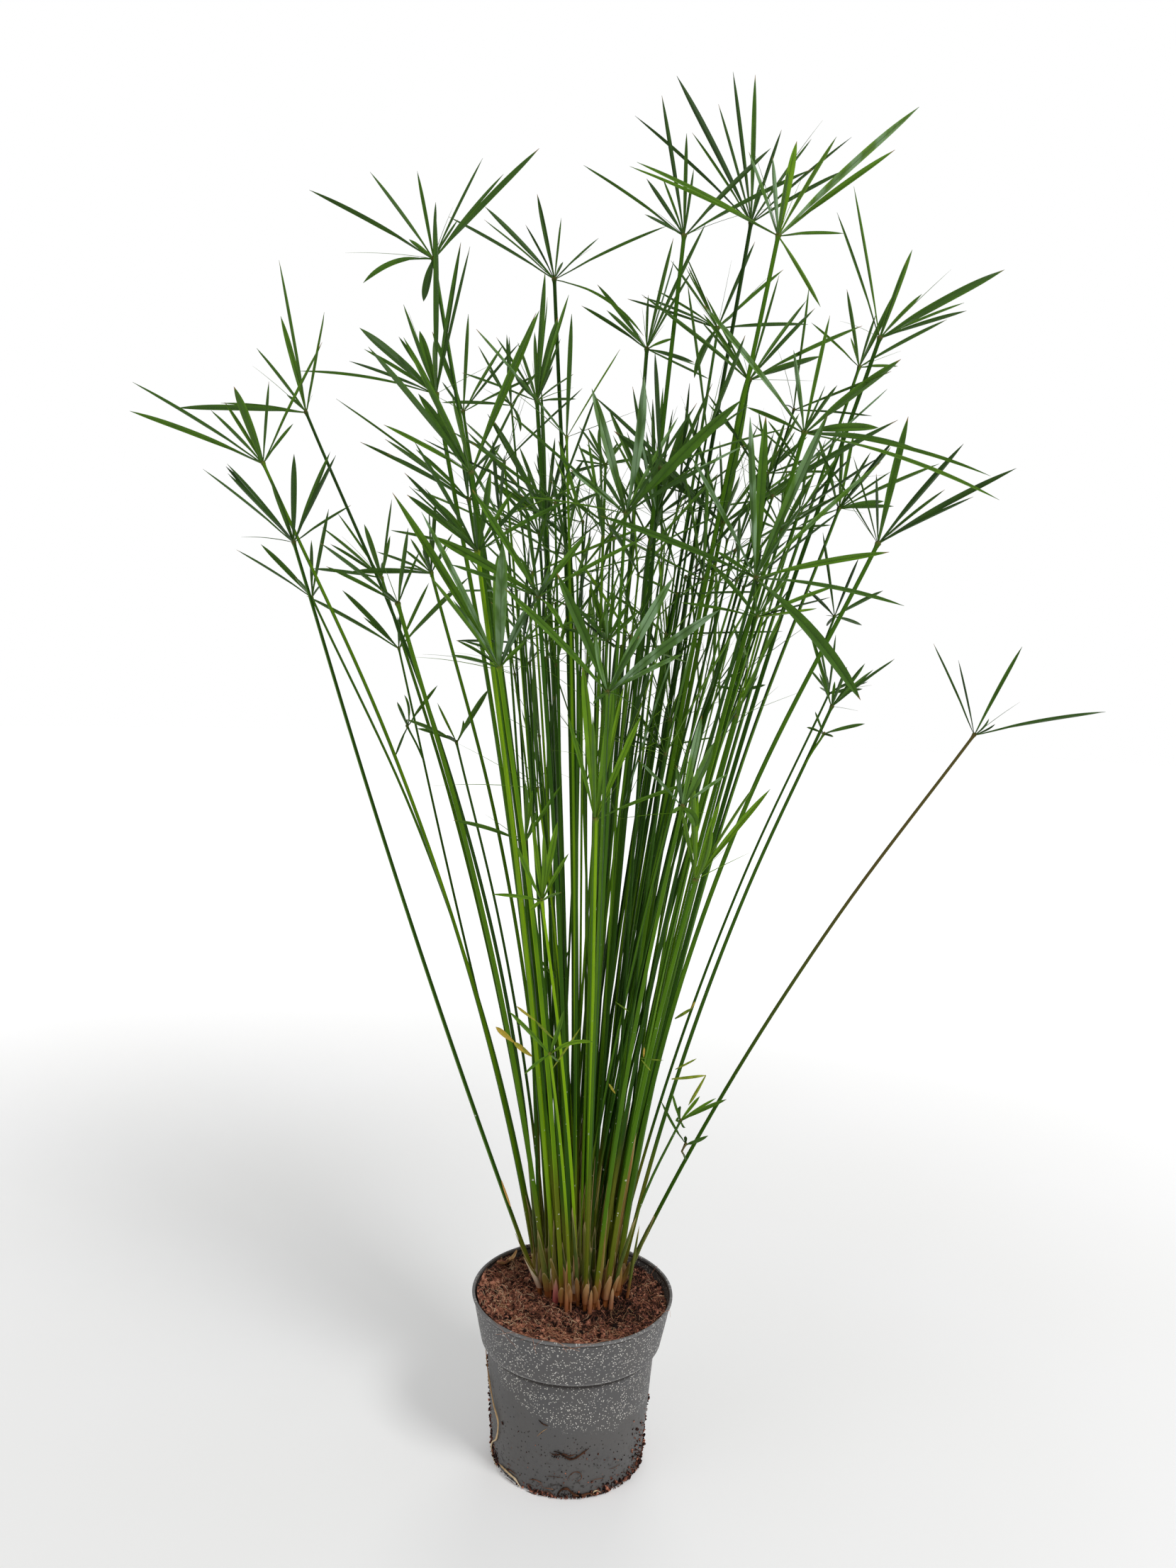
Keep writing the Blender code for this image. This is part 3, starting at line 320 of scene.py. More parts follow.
def ball() -> tuple[Array, Array]:
    """The corners of a ball of 20 triangles, of radius one, and its faces."""
    mesh = bmesh.new()
    bmesh.ops.create_icosphere(mesh, subdivisions=1, radius=1)
    mesh.verts.ensure_lookup_table()
    places = np.array([vert.co for vert in mesh.verts])
    faces = np.array([[vert.index for vert in face.verts] for face in mesh.faces])
    mesh.free()
    return places, faces


def random_turn(chance: Chance) -> Array:
    """A rotation with an even chance of every direction, as a 3 by 3 matrix."""
    columns, _ = np.linalg.qr(chance.normal(size=(3, 3)))
    return columns * np.sign(np.linalg.det(columns))


# ---- materials


class Recipe:
    """A material on one Principled shader, with short ways to add and join nodes."""

    def __init__(self, name: str, roughness: float, **constants: float) -> None:
        """Starts a material.

        Args:
            name: Its name.
            roughness: The shader's roughness.
            **constants: Other sockets of the shader, with _ for a space, and their numbers.
        """
        self.made = bpy.data.materials.new(name)
        self.made.use_nodes = True
        self.tree = self.made.node_tree
        self.shader = self.tree.nodes["Principled BSDF"]
        self.shader.inputs["Roughness"].default_value = roughness
        for socket, value in constants.items():
            self.shader.inputs[socket.replace("_", " ").title().replace("Ior", "IOR")].default_value = value
        self.object_place = self.node("TexCoord").outputs["Object"]
        self.colour: Any = None

    def node(self, kind: str, inputs: dict[Any, Any] | None = None, **settings: Any) -> bpy.types.Node:
        """Adds a node.

        Args:
            kind: Its Blender type, less the ShaderNode that all begin with.
            inputs: A number, colour or another node's socket for each input.
            **settings: The node's own properties.

        Returns:
            The node.
        """
        made = self.tree.nodes.new("ShaderNode" + kind)
        for name, value in settings.items():
            setattr(made, name, value)
        for key, value in (inputs or {}).items():
            self.feed(made.inputs[key], value)
        return made

    def feed(self, socket: Socket, value: Any) -> None:
        """Links a socket to an input, or sets the input to a number or colour."""
        if isinstance(value, Socket):
            self.tree.links.new(value, socket)
        elif isinstance(value, tuple) and len(value) == 3 and socket.type == "RGBA":
            socket.default_value = (*value, 1)
        else:
            socket.default_value = value

    def mark(self, name: str) -> Socket:
        """What the mesh says at each place under that name."""
        return self.node("Attribute", attribute_name=name).outputs["Fac"]

    def height(self) -> Socket:
        """How high each place lies."""
        return self.node("SeparateXYZ", {0: self.object_place}).outputs["Z"]

    def maths(self, operation: str, first: Any, second: Any = 0.0, third: float = 0.0) -> Socket:
        """The result of a sum on one, two or three numbers."""
        return self.node("Math", {0: first, 1: second, 2: third}, operation=operation).outputs[0]

    def times(self, first: Any, second: Any) -> Socket:
        """The product of two numbers."""
        return self.maths("MULTIPLY", first, second)

    def less(self, first: Any, second: Any) -> Socket:
        """The first number less the second."""
        return self.maths("SUBTRACT", first, second)

    def varied(self, value: Any, cloud: Any, amount: float) -> Socket:
        """A value that smooth noise moves up and down, over a span of that amount."""
        return self.maths("ADD", value, self.maths("MULTIPLY_ADD", cloud, amount, -amount / 2))

    def waves(self, place: Any, count: float) -> Socket:
        """A wave that runs from -1 to 1 as often as counted, where a place goes from 0 to 1."""
        return self.maths("SINE", self.times(place, TURN * count))

    def spots(self, place: Any, scale: float, dimensions: str) -> tuple[Socket, Socket, Socket]:
        """Scattered spots.

        Args:
            place: The place that they go by.
            scale: How many there are in a unit of it.
            dimensions: Whether they lie in a plane, "2D", or in space, "3D".

        Returns:
            The distance from the nearest spot's middle, and two numbers by which spots differ.
        """
        made = self.node("TexVoronoi", {"Vector": place, "Scale": scale}, voronoi_dimensions=dimensions)
        pick = self.node("SeparateColor", {0: made.outputs["Color"]})
        return made.outputs["Distance"], pick.outputs[0], pick.outputs[1]

    def between(self, value: Any, low: float, high: float, start: float = 0.0, end: float = 1.0) -> Socket:
        """A value's place between low and high, eased, as a share from start to end.

        Args:
            value: The value.
            low: Where the share starts.
            high: Where it ends.
            start: The share at low.
            end: The share at high.

        Returns:
            The share.
        """
        limits = {"Value": value, "From Min": low, "From Max": high, "To Min": start, "To Max": end}
        return self.node("MapRange", limits, interpolation_type="SMOOTHSTEP").outputs["Result"]

    def mix(self, share: Any, first: Any, second: Any) -> Socket:
        """The second colour laid over the first by a share."""
        return self.node("Mix", {0: share, 6: first, 7: second}, data_type="RGBA").outputs[2]

    def lay(self, share: Any, colour: Colour) -> None:
        """Lays a colour over what the material has so far, by a share."""
        self.colour = self.mix(share, self.colour, colour)

    def ramp(self, share: Any, stops: Stops) -> Socket:
        """A colour that changes with a share.

        Args:
            share: The share.
            stops: Places on it and their colours, in order.

        Returns:
            The colour.
        """
        made = self.node("ValToRGB", {0: share})
        elements = made.color_ramp.elements
        while len(elements) < len(stops):
            elements.new(0.5)
        for element, (position, colour) in zip(elements, stops):
            element.position = position
            element.color = (*colour, 1)
        return made.outputs["Color"]

    def cloud(self, size: float, detail: float = 2.0, stretch: Place = (1, 1, 1),
              place: Any = None) -> Socket:
        """Smooth noise.

        Args:
            size: The size of its patches in metres.
            detail: How many finer layers it has.
            stretch: How much finer it is along each axis.
            place: The place that it reads, or None for the object's own.

        Returns:
            A number round one half.
        """
        scaled = self.node("Mapping", {"Vector": place or self.object_place, "Scale": stretch})
        inputs = {"Vector": scaled.outputs[0], "Scale": 1 / size, "Detail": detail}
        return self.node("TexNoise", inputs).outputs["Fac"]

    def finish(self, height: Any = None, distance: float = 0.0, rough: Any = None) -> Material:
        """Joins the colour, the bump and a varying roughness to the shader.

        Args:
            height: The bump's height, from 0 to 1, or None.
            distance: The height that 1 stands for, in metres.
            rough: The roughness, where it changes over the surface.

        Returns:
            The material.
        """
        self.feed(self.shader.inputs["Base Color"], self.colour)
        if height is not None:
            bump = self.node("Bump", {"Height": height, "Distance": distance, "Strength": 1.0})
            self.feed(self.shader.inputs["Normal"], bump.outputs[0])
        if rough is not None:
            self.feed(self.shader.inputs["Roughness"], rough)
        return self.made


@dataclass(frozen=True)
class LeafFinish:
    """Satin leaf: dark to yellow green by tone, with a pale midrib, fine veins and dry tips."""

    greens: Stops = (
        (0.0, (0.006, 0.018, 0.005)), (0.25, (0.022, 0.052, 0.009)), (0.5, (0.053, 0.128, 0.012)),
        (0.75, (0.100, 0.220, 0.012)), (1.0, (0.180, 0.340, 0.012)))
    rib: Colour = (0.048, 0.100, 0.024)
    under: Colour = (0.025, 0.062, 0.014)
    sheen: Colour = (0.250, 0.380, 0.220)
    base: Colour = (0.130, 0.190, 0.040)
    dry: Colour = (0.300, 0.160, 0.050)
    veins: float = 6.5  # from the midrib to an edge

    def material(self) -> Material:
        """The material of every leaf."""
        recipe = Recipe("papyrus_leaf", 0.42, specular_ior_level=0.11)
        along, across, tone, upper, pale = (recipe.mark(mark) for mark in MARKS)
        mottle = recipe.cloud(12 * MM, 3.0)
        recipe.colour = recipe.ramp(recipe.varied(tone, mottle, 0.3), self.greens)
        vein = recipe.waves(across, self.veins)
        recipe.lay(recipe.between(vein, 0.2, 1.0, 0.0, 0.09), self.rib)
        recipe.lay(recipe.times(recipe.less(1.0, upper), 0.5), self.under)
        streak = recipe.cloud(10 * MM, 2.0, (1, 1, 0.15))
        gloss = recipe.times(recipe.between(streak, 0.40, 0.64, 0.10, 0.9), pale)
        gloss = recipe.times(gloss, recipe.between(vein, -1, 1, 0.7, 1.0))
        recipe.lay(gloss, self.sheen)
        middle = recipe.between(recipe.maths("ABSOLUTE", across), 0.05, 0.16, 0.55, 0.0)
        recipe.lay(middle, self.rib)
        recipe.lay(recipe.between(along, 0.0, 0.06, 0.6, 0.0), self.base)
        dried = recipe.between(recipe.cloud(50 * MM, 1.0), 0.5, 0.6)
        recipe.lay(recipe.times(recipe.between(along, 0.94, 1.0), dried), self.dry)
        return recipe.finish(vein, 0.01 * MM, recipe.between(mottle, 0.3, 0.7, 0.36, 0.5))


@dataclass(frozen=True)
class CulmFinish:
    """Ribbed culm: green above, olive and red-brown towards the soil, with a yellow node under the crown."""

    greens: Stops = (
        (0.0, (0.012, 0.040, 0.003)), (0.25, (0.027, 0.082, 0.005)), (0.5, (0.045, 0.120, 0.006)),
        (0.75, (0.092, 0.210, 0.005)), (1.0, (0.225, 0.410, 0.005)))
    olive: Colour = (0.150, 0.150, 0.012)
    foot: Colour = (0.400, 0.120, 0.038)
    pale: Colour = (0.052, 0.120, 0.012)
    node: Colour = (0.120, 0.088, 0.030)
    speck: Colour = (0.620, 0.640, 0.540)
    ribs: int = 16
    specks: float = 200.0  # how many spots there are in a metre
    # Heights over the soil between which the red foot and the specks fade out and the green darkens.
    red_foot: Pair = (6 * MM, 42 * MM)
    speckled: Pair = (10 * CM, 32 * CM)
    darkening: Pair = (347 * MM, 847 * MM)
    olive_reach: float = 40 * MM  # how far up the least worn culm is olive
    worn_reach: float = 12 * CM  # how much further up the most worn one is

    def material(self) -> Material:
        """The material of every culm."""
        recipe = Recipe("papyrus_culm", 0.40, specular_ior_level=0.06)
        turn, tone, hub, wear = (recipe.mark(mark) for mark in MARKS[1:])
        height = recipe.less(recipe.height(), SOIL_TOP)
        shade = recipe.varied(tone, recipe.cloud(20 * MM, 2.0, (1, 1, 0.25)), 0.3)
        shade = recipe.less(shade, recipe.between(height, *self.darkening, 0.0, 0.12))
        recipe.colour = recipe.ramp(shade, self.greens)
        rib = recipe.waves(turn, self.ribs)
        recipe.lay(recipe.between(rib, 0.3, 1.0, 0.0, 0.24), self.pale)
        reach = recipe.maths("MULTIPLY_ADD", wear, self.worn_reach, self.olive_reach)
        aged = recipe.between(recipe.less(height, reach), 0.0, 60 * MM, 0.72, 0.0)
        recipe.lay(aged, self.olive)
        recipe.lay(recipe.between(height, *self.red_foot, 0.9, 0.0), self.foot)
        recipe.lay(hub, self.node)
        distance, kind, size = recipe.spots(recipe.object_place, self.specks, "3D")
        close = recipe.times(recipe.between(kind, 0.45, 1.0, 0.0, 0.24), size)
        speck = recipe.times(recipe.maths("LESS_THAN", distance, close),
                             recipe.between(height, *self.speckled, 0.8, 0.06))
        recipe.lay(speck, self.speck)
        return recipe.finish(rib, 0.02 * MM)


@dataclass(frozen=True)
class SheathFinish:
    """Papery sheath: cream, tan, brown or grey green by tone, striped along, redder at the soil."""

    papers: Stops = (
        (0.0, (0.800, 0.700, 0.520)), (0.2, (0.640, 0.400, 0.200)), (0.4, (0.400, 0.190, 0.060)),
        (0.6, (0.250, 0.200, 0.036)), (0.8, (0.110, 0.150, 0.020)), (1.0, (0.034, 0.078, 0.010)))
    edge: Colour = (0.560, 0.420, 0.200)
    foot: Colour = (0.420, 0.110, 0.050)
    stripes: int = 14
    red_foot: Pair = (2 * MM, 24 * MM)  # the heights over the soil where its red fades out

    def material(self) -> Material:
        """The material of every sheath."""
        recipe = Recipe("papyrus_sheath", 0.62, specular_ior_level=0.12)
        along, turn, tone = (recipe.mark(mark) for mark in MARKS[:3])
        height = recipe.less(recipe.height(), SOIL_TOP)
        grain = recipe.cloud(4 * MM, 3.0, (1, 1, 0.16))
        recipe.colour = recipe.ramp(recipe.varied(tone, grain, 0.4), self.papers)
        stripe = recipe.waves(turn, self.stripes)
        recipe.lay(recipe.between(stripe, 0.0, 1.0, 0.0, 0.14), self.edge)
        recipe.lay(recipe.between(along, 0.86, 1.0, 0.0, 0.8), self.edge)
        recipe.lay(recipe.between(height, *self.red_foot, 0.7, 0.0), self.foot)
        return recipe.finish(stripe, 0.02 * MM)


class PotFinish(Recipe):
    """Recycled plastic: matte grey, with pale flecks down to a ragged slanting edge, and soil low down."""

    grey: Colour = (0.106, 0.104, 0.106)
    low_grey: Colour = (0.112, 0.109, 0.108)
    fleck: Colour = (0.860, 0.830, 0.770)
    # dark soil on the lower wall; the same colour is also laid as painted shade in the corners under the
    # collar's foot and the lip
    dirt_and_shade: Colour = (0.014, 0.009, 0.006)
    dust: Colour = (0.150, 0.134, 0.116)
    # a pale painted highlight along the collar's foot and the lip
    edge_highlight: Colour = (0.300, 0.296, 0.295)
    girth: float = 0.080  # the mean radius, which turns an angle into a distance round the pot
    edge_low: float = 66 * MM  # the flecks' lower edge on the right
    edge_turn: float = math.radians(20)  # how far round to the right it starts to rise to the left
    edge_rise: float = 19 * MM  # how fast it rises, for each radian squared
    # Each layer of flecks: the way that its dashes lie, in degrees, and the share of cells that have one.
    layers: tuple[Pair, ...] = ((12, 0.095), (64, 0.105), (101, 0.105), (155, 0.095))
    cells: Place = (500.0, 640.0, 1.0)  # how many cells a metre has along a dash and across it
    bend: Place = (0.1 * MM, 0.1 * MM, 0.0)  # how far noise moves the flecks

    def __init__(self) -> None:
        """Starts the material, and works out where each place lies on the wall."""
        super().__init__("pot_plastic", 0.50, specular_ior_level=0.28)
        self.across, back, self.level = self.node("SeparateXYZ", {0: self.object_place}).outputs
        angle = self.maths("ARCTAN2", self.across, self.times(back, -1.0))
        wrap = self.node("CombineXYZ", {0: self.times(angle, self.girth), 1: self.level}).outputs[0]
        noise_here = self.node("TexNoise", {"Vector": wrap, "Scale": 400.0}).outputs["Color"]
        self.bent = self.node("VectorMath", {0: noise_here, 1: self.bend, 2: wrap},
                              operation="MULTIPLY_ADD").outputs[0]
        off = self.maths("MINIMUM", self.less(angle, self.edge_turn), 0.0)
        edge = self.maths("MULTIPLY_ADD", self.times(off, off), self.edge_rise, self.edge_low)
        waver = self.cloud(14 * MM, 3.0, place=wrap)
        self.over_edge = self.varied(self.less(self.level, edge), waver, 30 * MM)

    def flecks(self, turn: float, fullness: float) -> Socket:
        """A layer of short dashes that all lie one way.

        Args:
            turn: The way that the dashes lie, in degrees.
            fullness: The share of the cells that have a dash.

        Returns:
            How strong a dash is at each place.
        """
        turned = self.node("VectorRotate", {"Vector": self.bent, "Angle": math.radians(turn)},
                           rotation_type="Z_AXIS").outputs[0]
        scaled = self.node("VectorMath", {0: turned, 1: self.cells}, operation="MULTIPLY").outputs[0]
        distance, kind, brightness = self.spots(scaled, 1.0, "2D")
        dash = self.between(distance, 0.20, 0.33, 1.0, 0.0)
        dash = self.times(dash, self.maths("LESS_THAN", kind, fullness))
        return self.times(dash, self.between(brightness, 0.0, 1.0, 0.30, 1.0))

    def speckle(self) -> None:
        """Lays the flecks on the collar and on the body over their edge, fainter at the far left as painted
        shade on that side.
        """
        dashes = 0.0
        for turn, fullness in self.layers:
            dashes = self.maths("MAXIMUM", self.flecks(turn, fullness), dashes)
        collar = self.times(self.maths("GREATER_THAN", self.level, Pot.collar_foot), 0.8)
        # Painted shade: the flecks fade towards the shaded far left, most of all on the body.
        lit = self.maths("MAXIMUM", self.between(self.across, -83 * MM, -60 * MM, 0.12), collar)
        shown = self.times(self.between(self.over_edge, -3 * MM, 6 * MM), lit)
        self.lay(self.times(dashes, shown), self.fleck)

    def wear(self) -> None:
        """Lays a pale painted highlight on the collar's foot and the lip, and painted shade in the corners
        under them.
        """
        lip_foot = Pot.height - Pot.lip
        # Painted highlight: pale bands along the collar's foot and the lip.
        for low, high in ((Pot.collar_foot, Pot.collar_foot + 1.5 * MM), (lip_foot, Pot.height)):
            inside = self.times(self.between(self.level, low - 0.3 * MM, low),
                                self.between(self.level, high, high + 0.5 * MM, 1.0, 0.0))
            self.lay(self.times(inside, 0.35), self.edge_highlight)
        # Painted shade: dark bands in the corners under the collar's foot and under the lip, where shadow
        # falls.
        for corner, full, gone in ((Pot.collar_foot, 4.2 * MM, 7.5 * MM), (lip_foot, 0.9 * MM, 2.4 * MM)):
            depth = self.less(corner - 0.2 * MM, self.level)
            painted_shade = self.between(depth, full, gone, 0.85, 0.0)
            self.lay(self.times(painted_shade, self.maths("GREATER_THAN", depth, 0.0)), self.dirt_and_shade)

    def soiling(self) -> None:
        """Lays soil: specks all over the wall under the flecks' edge, and smears near the floor."""
        distance, kind, _ = self.spots(self.bent, 230.0, "2D")
        specks = self.times(self.between(distance, 0.10, 0.24, 1.0, 0.0), self.maths("LESS_THAN", kind, 0.30))
        specks = self.times(specks, self.between(self.over_edge, -12 * MM, 0.0, 1.0, 0.06))
        smear = self.times(self.between(self.cloud(5 * MM, 5.0), 0.57, 0.66),
                           self.between(self.level, 4 * MM, 45 * MM, 0.9, 0.1))
        smear = self.times(smear, self.between(self.over_edge, -12 * MM, 0.0, 1.0, 0.0))
        self.lay(self.times(self.maths("MAXIMUM", specks, smear), 0.85), self.dirt_and_shade)

    def material(self) -> Material:
        """The material of the pot."""
        self.colour = self.mix(self.between(self.over_edge, -14 * MM, 22 * MM), self.low_grey, self.grey)
        self.lay(self.between(self.cloud(30 * MM, 3.0), 0.35, 0.65, 0.0, 0.14), self.dust)
        self.speckle()
        # painted highlight on the collar's foot and the lip, and painted shade under them
        self.wear()
        self.soiling()
        rough = self.between(self.cloud(2 * MM), 0.3, 0.7, 0.44, 0.58)
        return self.finish(self.cloud(0.9 * MM), 0.05 * MM, rough)


@dataclass(frozen=True)
class GrainFinish:
    """Loose matter whose colour goes by tone and fine noise: soil, coir, roots, dry leaf or bud."""

    name: str
    stops: Stops
    size: float  # how large its grains are
    roughness: float
    spread: float = 0.5  # how far the grain changes the tone
    depth: float = 0.3 * MM  # how deep its bump is

    def material(self) -> Material:
        """The material."""
        recipe = Recipe(self.name, self.roughness, specular_ior_level=0.10)
        grain = recipe.cloud(self.size, 4.0)
        recipe.colour = recipe.ramp(recipe.varied(recipe.mark("tone"), grain, self.spread), self.stops)
        return recipe.finish(grain, self.depth)


SOIL_FINISH = GrainFinish("coir_soil", (
    (0.0, (0.012, 0.007, 0.006)), (0.35, (0.080, 0.034, 0.026)), (0.6, (0.270, 0.100, 0.066)),
    (1.0, (0.640, 0.280, 0.180))), 3.4 * MM, 0.95, spread=3.6, depth=1.5 * MM)
FIBRE_FINISH = GrainFinish("coir_fibre", (
    (0.0, (0.030, 0.016, 0.013)), (0.35, (0.240, 0.090, 0.056)), (0.7, (0.640, 0.280, 0.160)),
    (1.0, (0.900, 0.640, 0.420))), 2 * MM, 0.85)
ROOT_FINISH = GrainFinish("pale_root", (
    (0.0, (0.014, 0.008, 0.006)), (0.4, (0.280, 0.110, 0.050)), (0.7, (0.640, 0.440, 0.230)),
    (1.0, (0.820, 0.700, 0.500))), 4 * MM, 0.7, spread=0.35)
DRY_FINISH = GrainFinish("dry_leaf", (
    (0.0, (0.240, 0.110, 0.045)), (0.45, (0.520, 0.280, 0.110)), (1.0, (0.800, 0.580, 0.300))), 5 * MM, 0.75,
    spread=0.9)
BUD_FINISH = GrainFinish("bud_skin", (
    (0.0, (0.520, 0.080, 0.085)), (0.45, (0.640, 0.210, 0.185)), (0.8, (0.560, 0.290, 0.200)),
    (1.0, (0.420, 0.290, 0.120))), 3 * MM, 0.5, spread=0.35)
WILTED_FINISH = GrainFinish("wilted_leaf", (
    (0.0, (0.050, 0.120, 0.010)), (0.35, (0.260, 0.320, 0.030)), (0.65, (0.520, 0.370, 0.050)),
    (1.0, (0.560, 0.300, 0.080))), 4 * MM, 0.6, spread=0.8)


# ---- reading the solids


@dataclass
class Blade:
    """A leaf as its solid plans it: a middle line of three points, a width and the way that it faces."""

    root: Array
    control: Array
    tip: Array
    width: float
    root_side: Array
    side: Array
    stations: int = 18
    thickness: float = 0.38 * MM
    fold: float = 0.30  # how deep its keel is, as a share of its width
    fullest: float = 0.58  # where along it the real leaf is widest
    twist: float = 0.0  # how far it turns about its own line on the way to its tip
    look: int = 0  # the number of its finish

    def line(self, along: Array) -> Array:
        """Places on the middle line at shares of its length."""
        return arch(self.root, self.control, self.tip, along)

    def half_widths(self, along: Array) -> Array:
        """Half the leaf's width: narrow at the hub, an even strap from its middle on, and a blunt point."""
        rise = 0.32 + 0.68 * np.sin(np.clip(along / self.fullest, 0, 1) * math.pi / 2)
        fall = 1 - np.clip((along - self.fullest) / (1 - self.fullest), 0, 1) ** 3.0
        return np.maximum(self.width / 2 * rise * fall, 0.12 * MM)

    def sides(self, along: Array, ahead: Array) -> Array:
        """The direction across the blade, which turns from its place on the hub to its own way.

        Args:
            along: Shares of the leaf's length.
            ahead: The line's direction at each of them.

        Returns:
            A direction for each of them.
        """
        turned = smooth_step(np.clip(along / WIDEST, 0, 1))[:, None]
        side = self.root_side * (1 - turned) + self.side * turned
        side = unit(side - ahead * (side * ahead).sum(1, keepdims=True))
        angle = (self.twist * along)[:, None]
        return side * np.cos(angle) + np.cross(ahead, side) * np.sin(angle)

    def skin_onto(self, skin: Skin, tone: float, pale: float = 0.0) -> None:
        """Adds the blade: a folded top, an underside with a raised midrib, and sharp edges.

        Args:
            skin: The mesh that it is added to.
            tone: How light its green is.
            pale: How strong its whitish sheen is.
        """
        along = 1 - (1 - np.linspace(0, 1, self.stations)) ** 1.3
        centre = self.line(along)
        ahead = unit(np.gradient(centre, axis=0))
        side = self.sides(along, ahead)
        under = np.cross(side, ahead)
        half = self.half_widths(along)[:, None]
        # The section's corners, from one edge over the top to the other and back along the underside.
        across = np.array([1, 0.5, 0, -0.5, -1, -0.5, 0, 0.5])
        below = np.array([0, 0, 0, 0, 0, 1, 1.7, 1])
        swell = np.array([0, 1, 0, 1, 0, 1, 0, 1])
        thick = np.minimum(self.thickness, half * 0.5)
        depth = half * 2 * (self.fold * (1 - abs(across)) - 0.035 * swell) + thick * below
        rings = (centre[:, None] + side[:, None] * (half * across)[..., None]
                 + under[:, None] * depth[..., None])
        skin.loft(rings, self.look, along=along[:, None], across=across, tone=tone,
                  upper=1 - np.minimum(below, 1), pale=pale)


@dataclass
class Thread:
    """One of a whorl's finest leaves, hardly wider than a thread."""

    root: Array
    control: Array
    tip: Array
    width: float
    stations: int = 12

    def skin_onto(self, skin: Skin, tone: float) -> None:
        """Adds the thread as a fine four-sided blade."""
        along = np.linspace(0, 1, self.stations)
        radii = self.width / 2 * np.minimum(1, 0.6 + 2 * along) * (1 - along**2.2) + 0.08 * MM
        rings = tube(arch(self.root, self.control, self.tip, along), radii, np.array([1.0, 0.55, 1.0, 0.55]))
        skin.loft(rings, along=along[:, None], across=np.array([0.9, 0.5, -0.9, 0.5]), tone=tone, upper=1.0)


@dataclass
class Crown:
    """A whorl: its hub, the way that its stem comes in, and its leaves."""

    hub: Array
    axis: Array
    girth: float
    blades: list[Blade]
    reach: float  # the mean length of its leaves

    def spoke(self, turn: float, rise: float, length: float) -> tuple[Array, Array]:
        """Where the tip of a straight leaf lies, and the direction across the leaf.

        Args:
            turn: The leaf's azimuth round the hub.
            rise: How steeply it rises from the plane of the whorl.
            length: Its length.

        Returns:
            The tip and the direction.
        """
        across = unit(np.cross(self.axis, FRONT))
        out = across * math.cos(turn) + np.cross(self.axis, across) * math.sin(turn)
        tip = self.hub + (out * math.cos(rise) + self.axis * math.sin(rise)) * length
        return within_box(self.hub, tip), np.cross(self.axis, out)


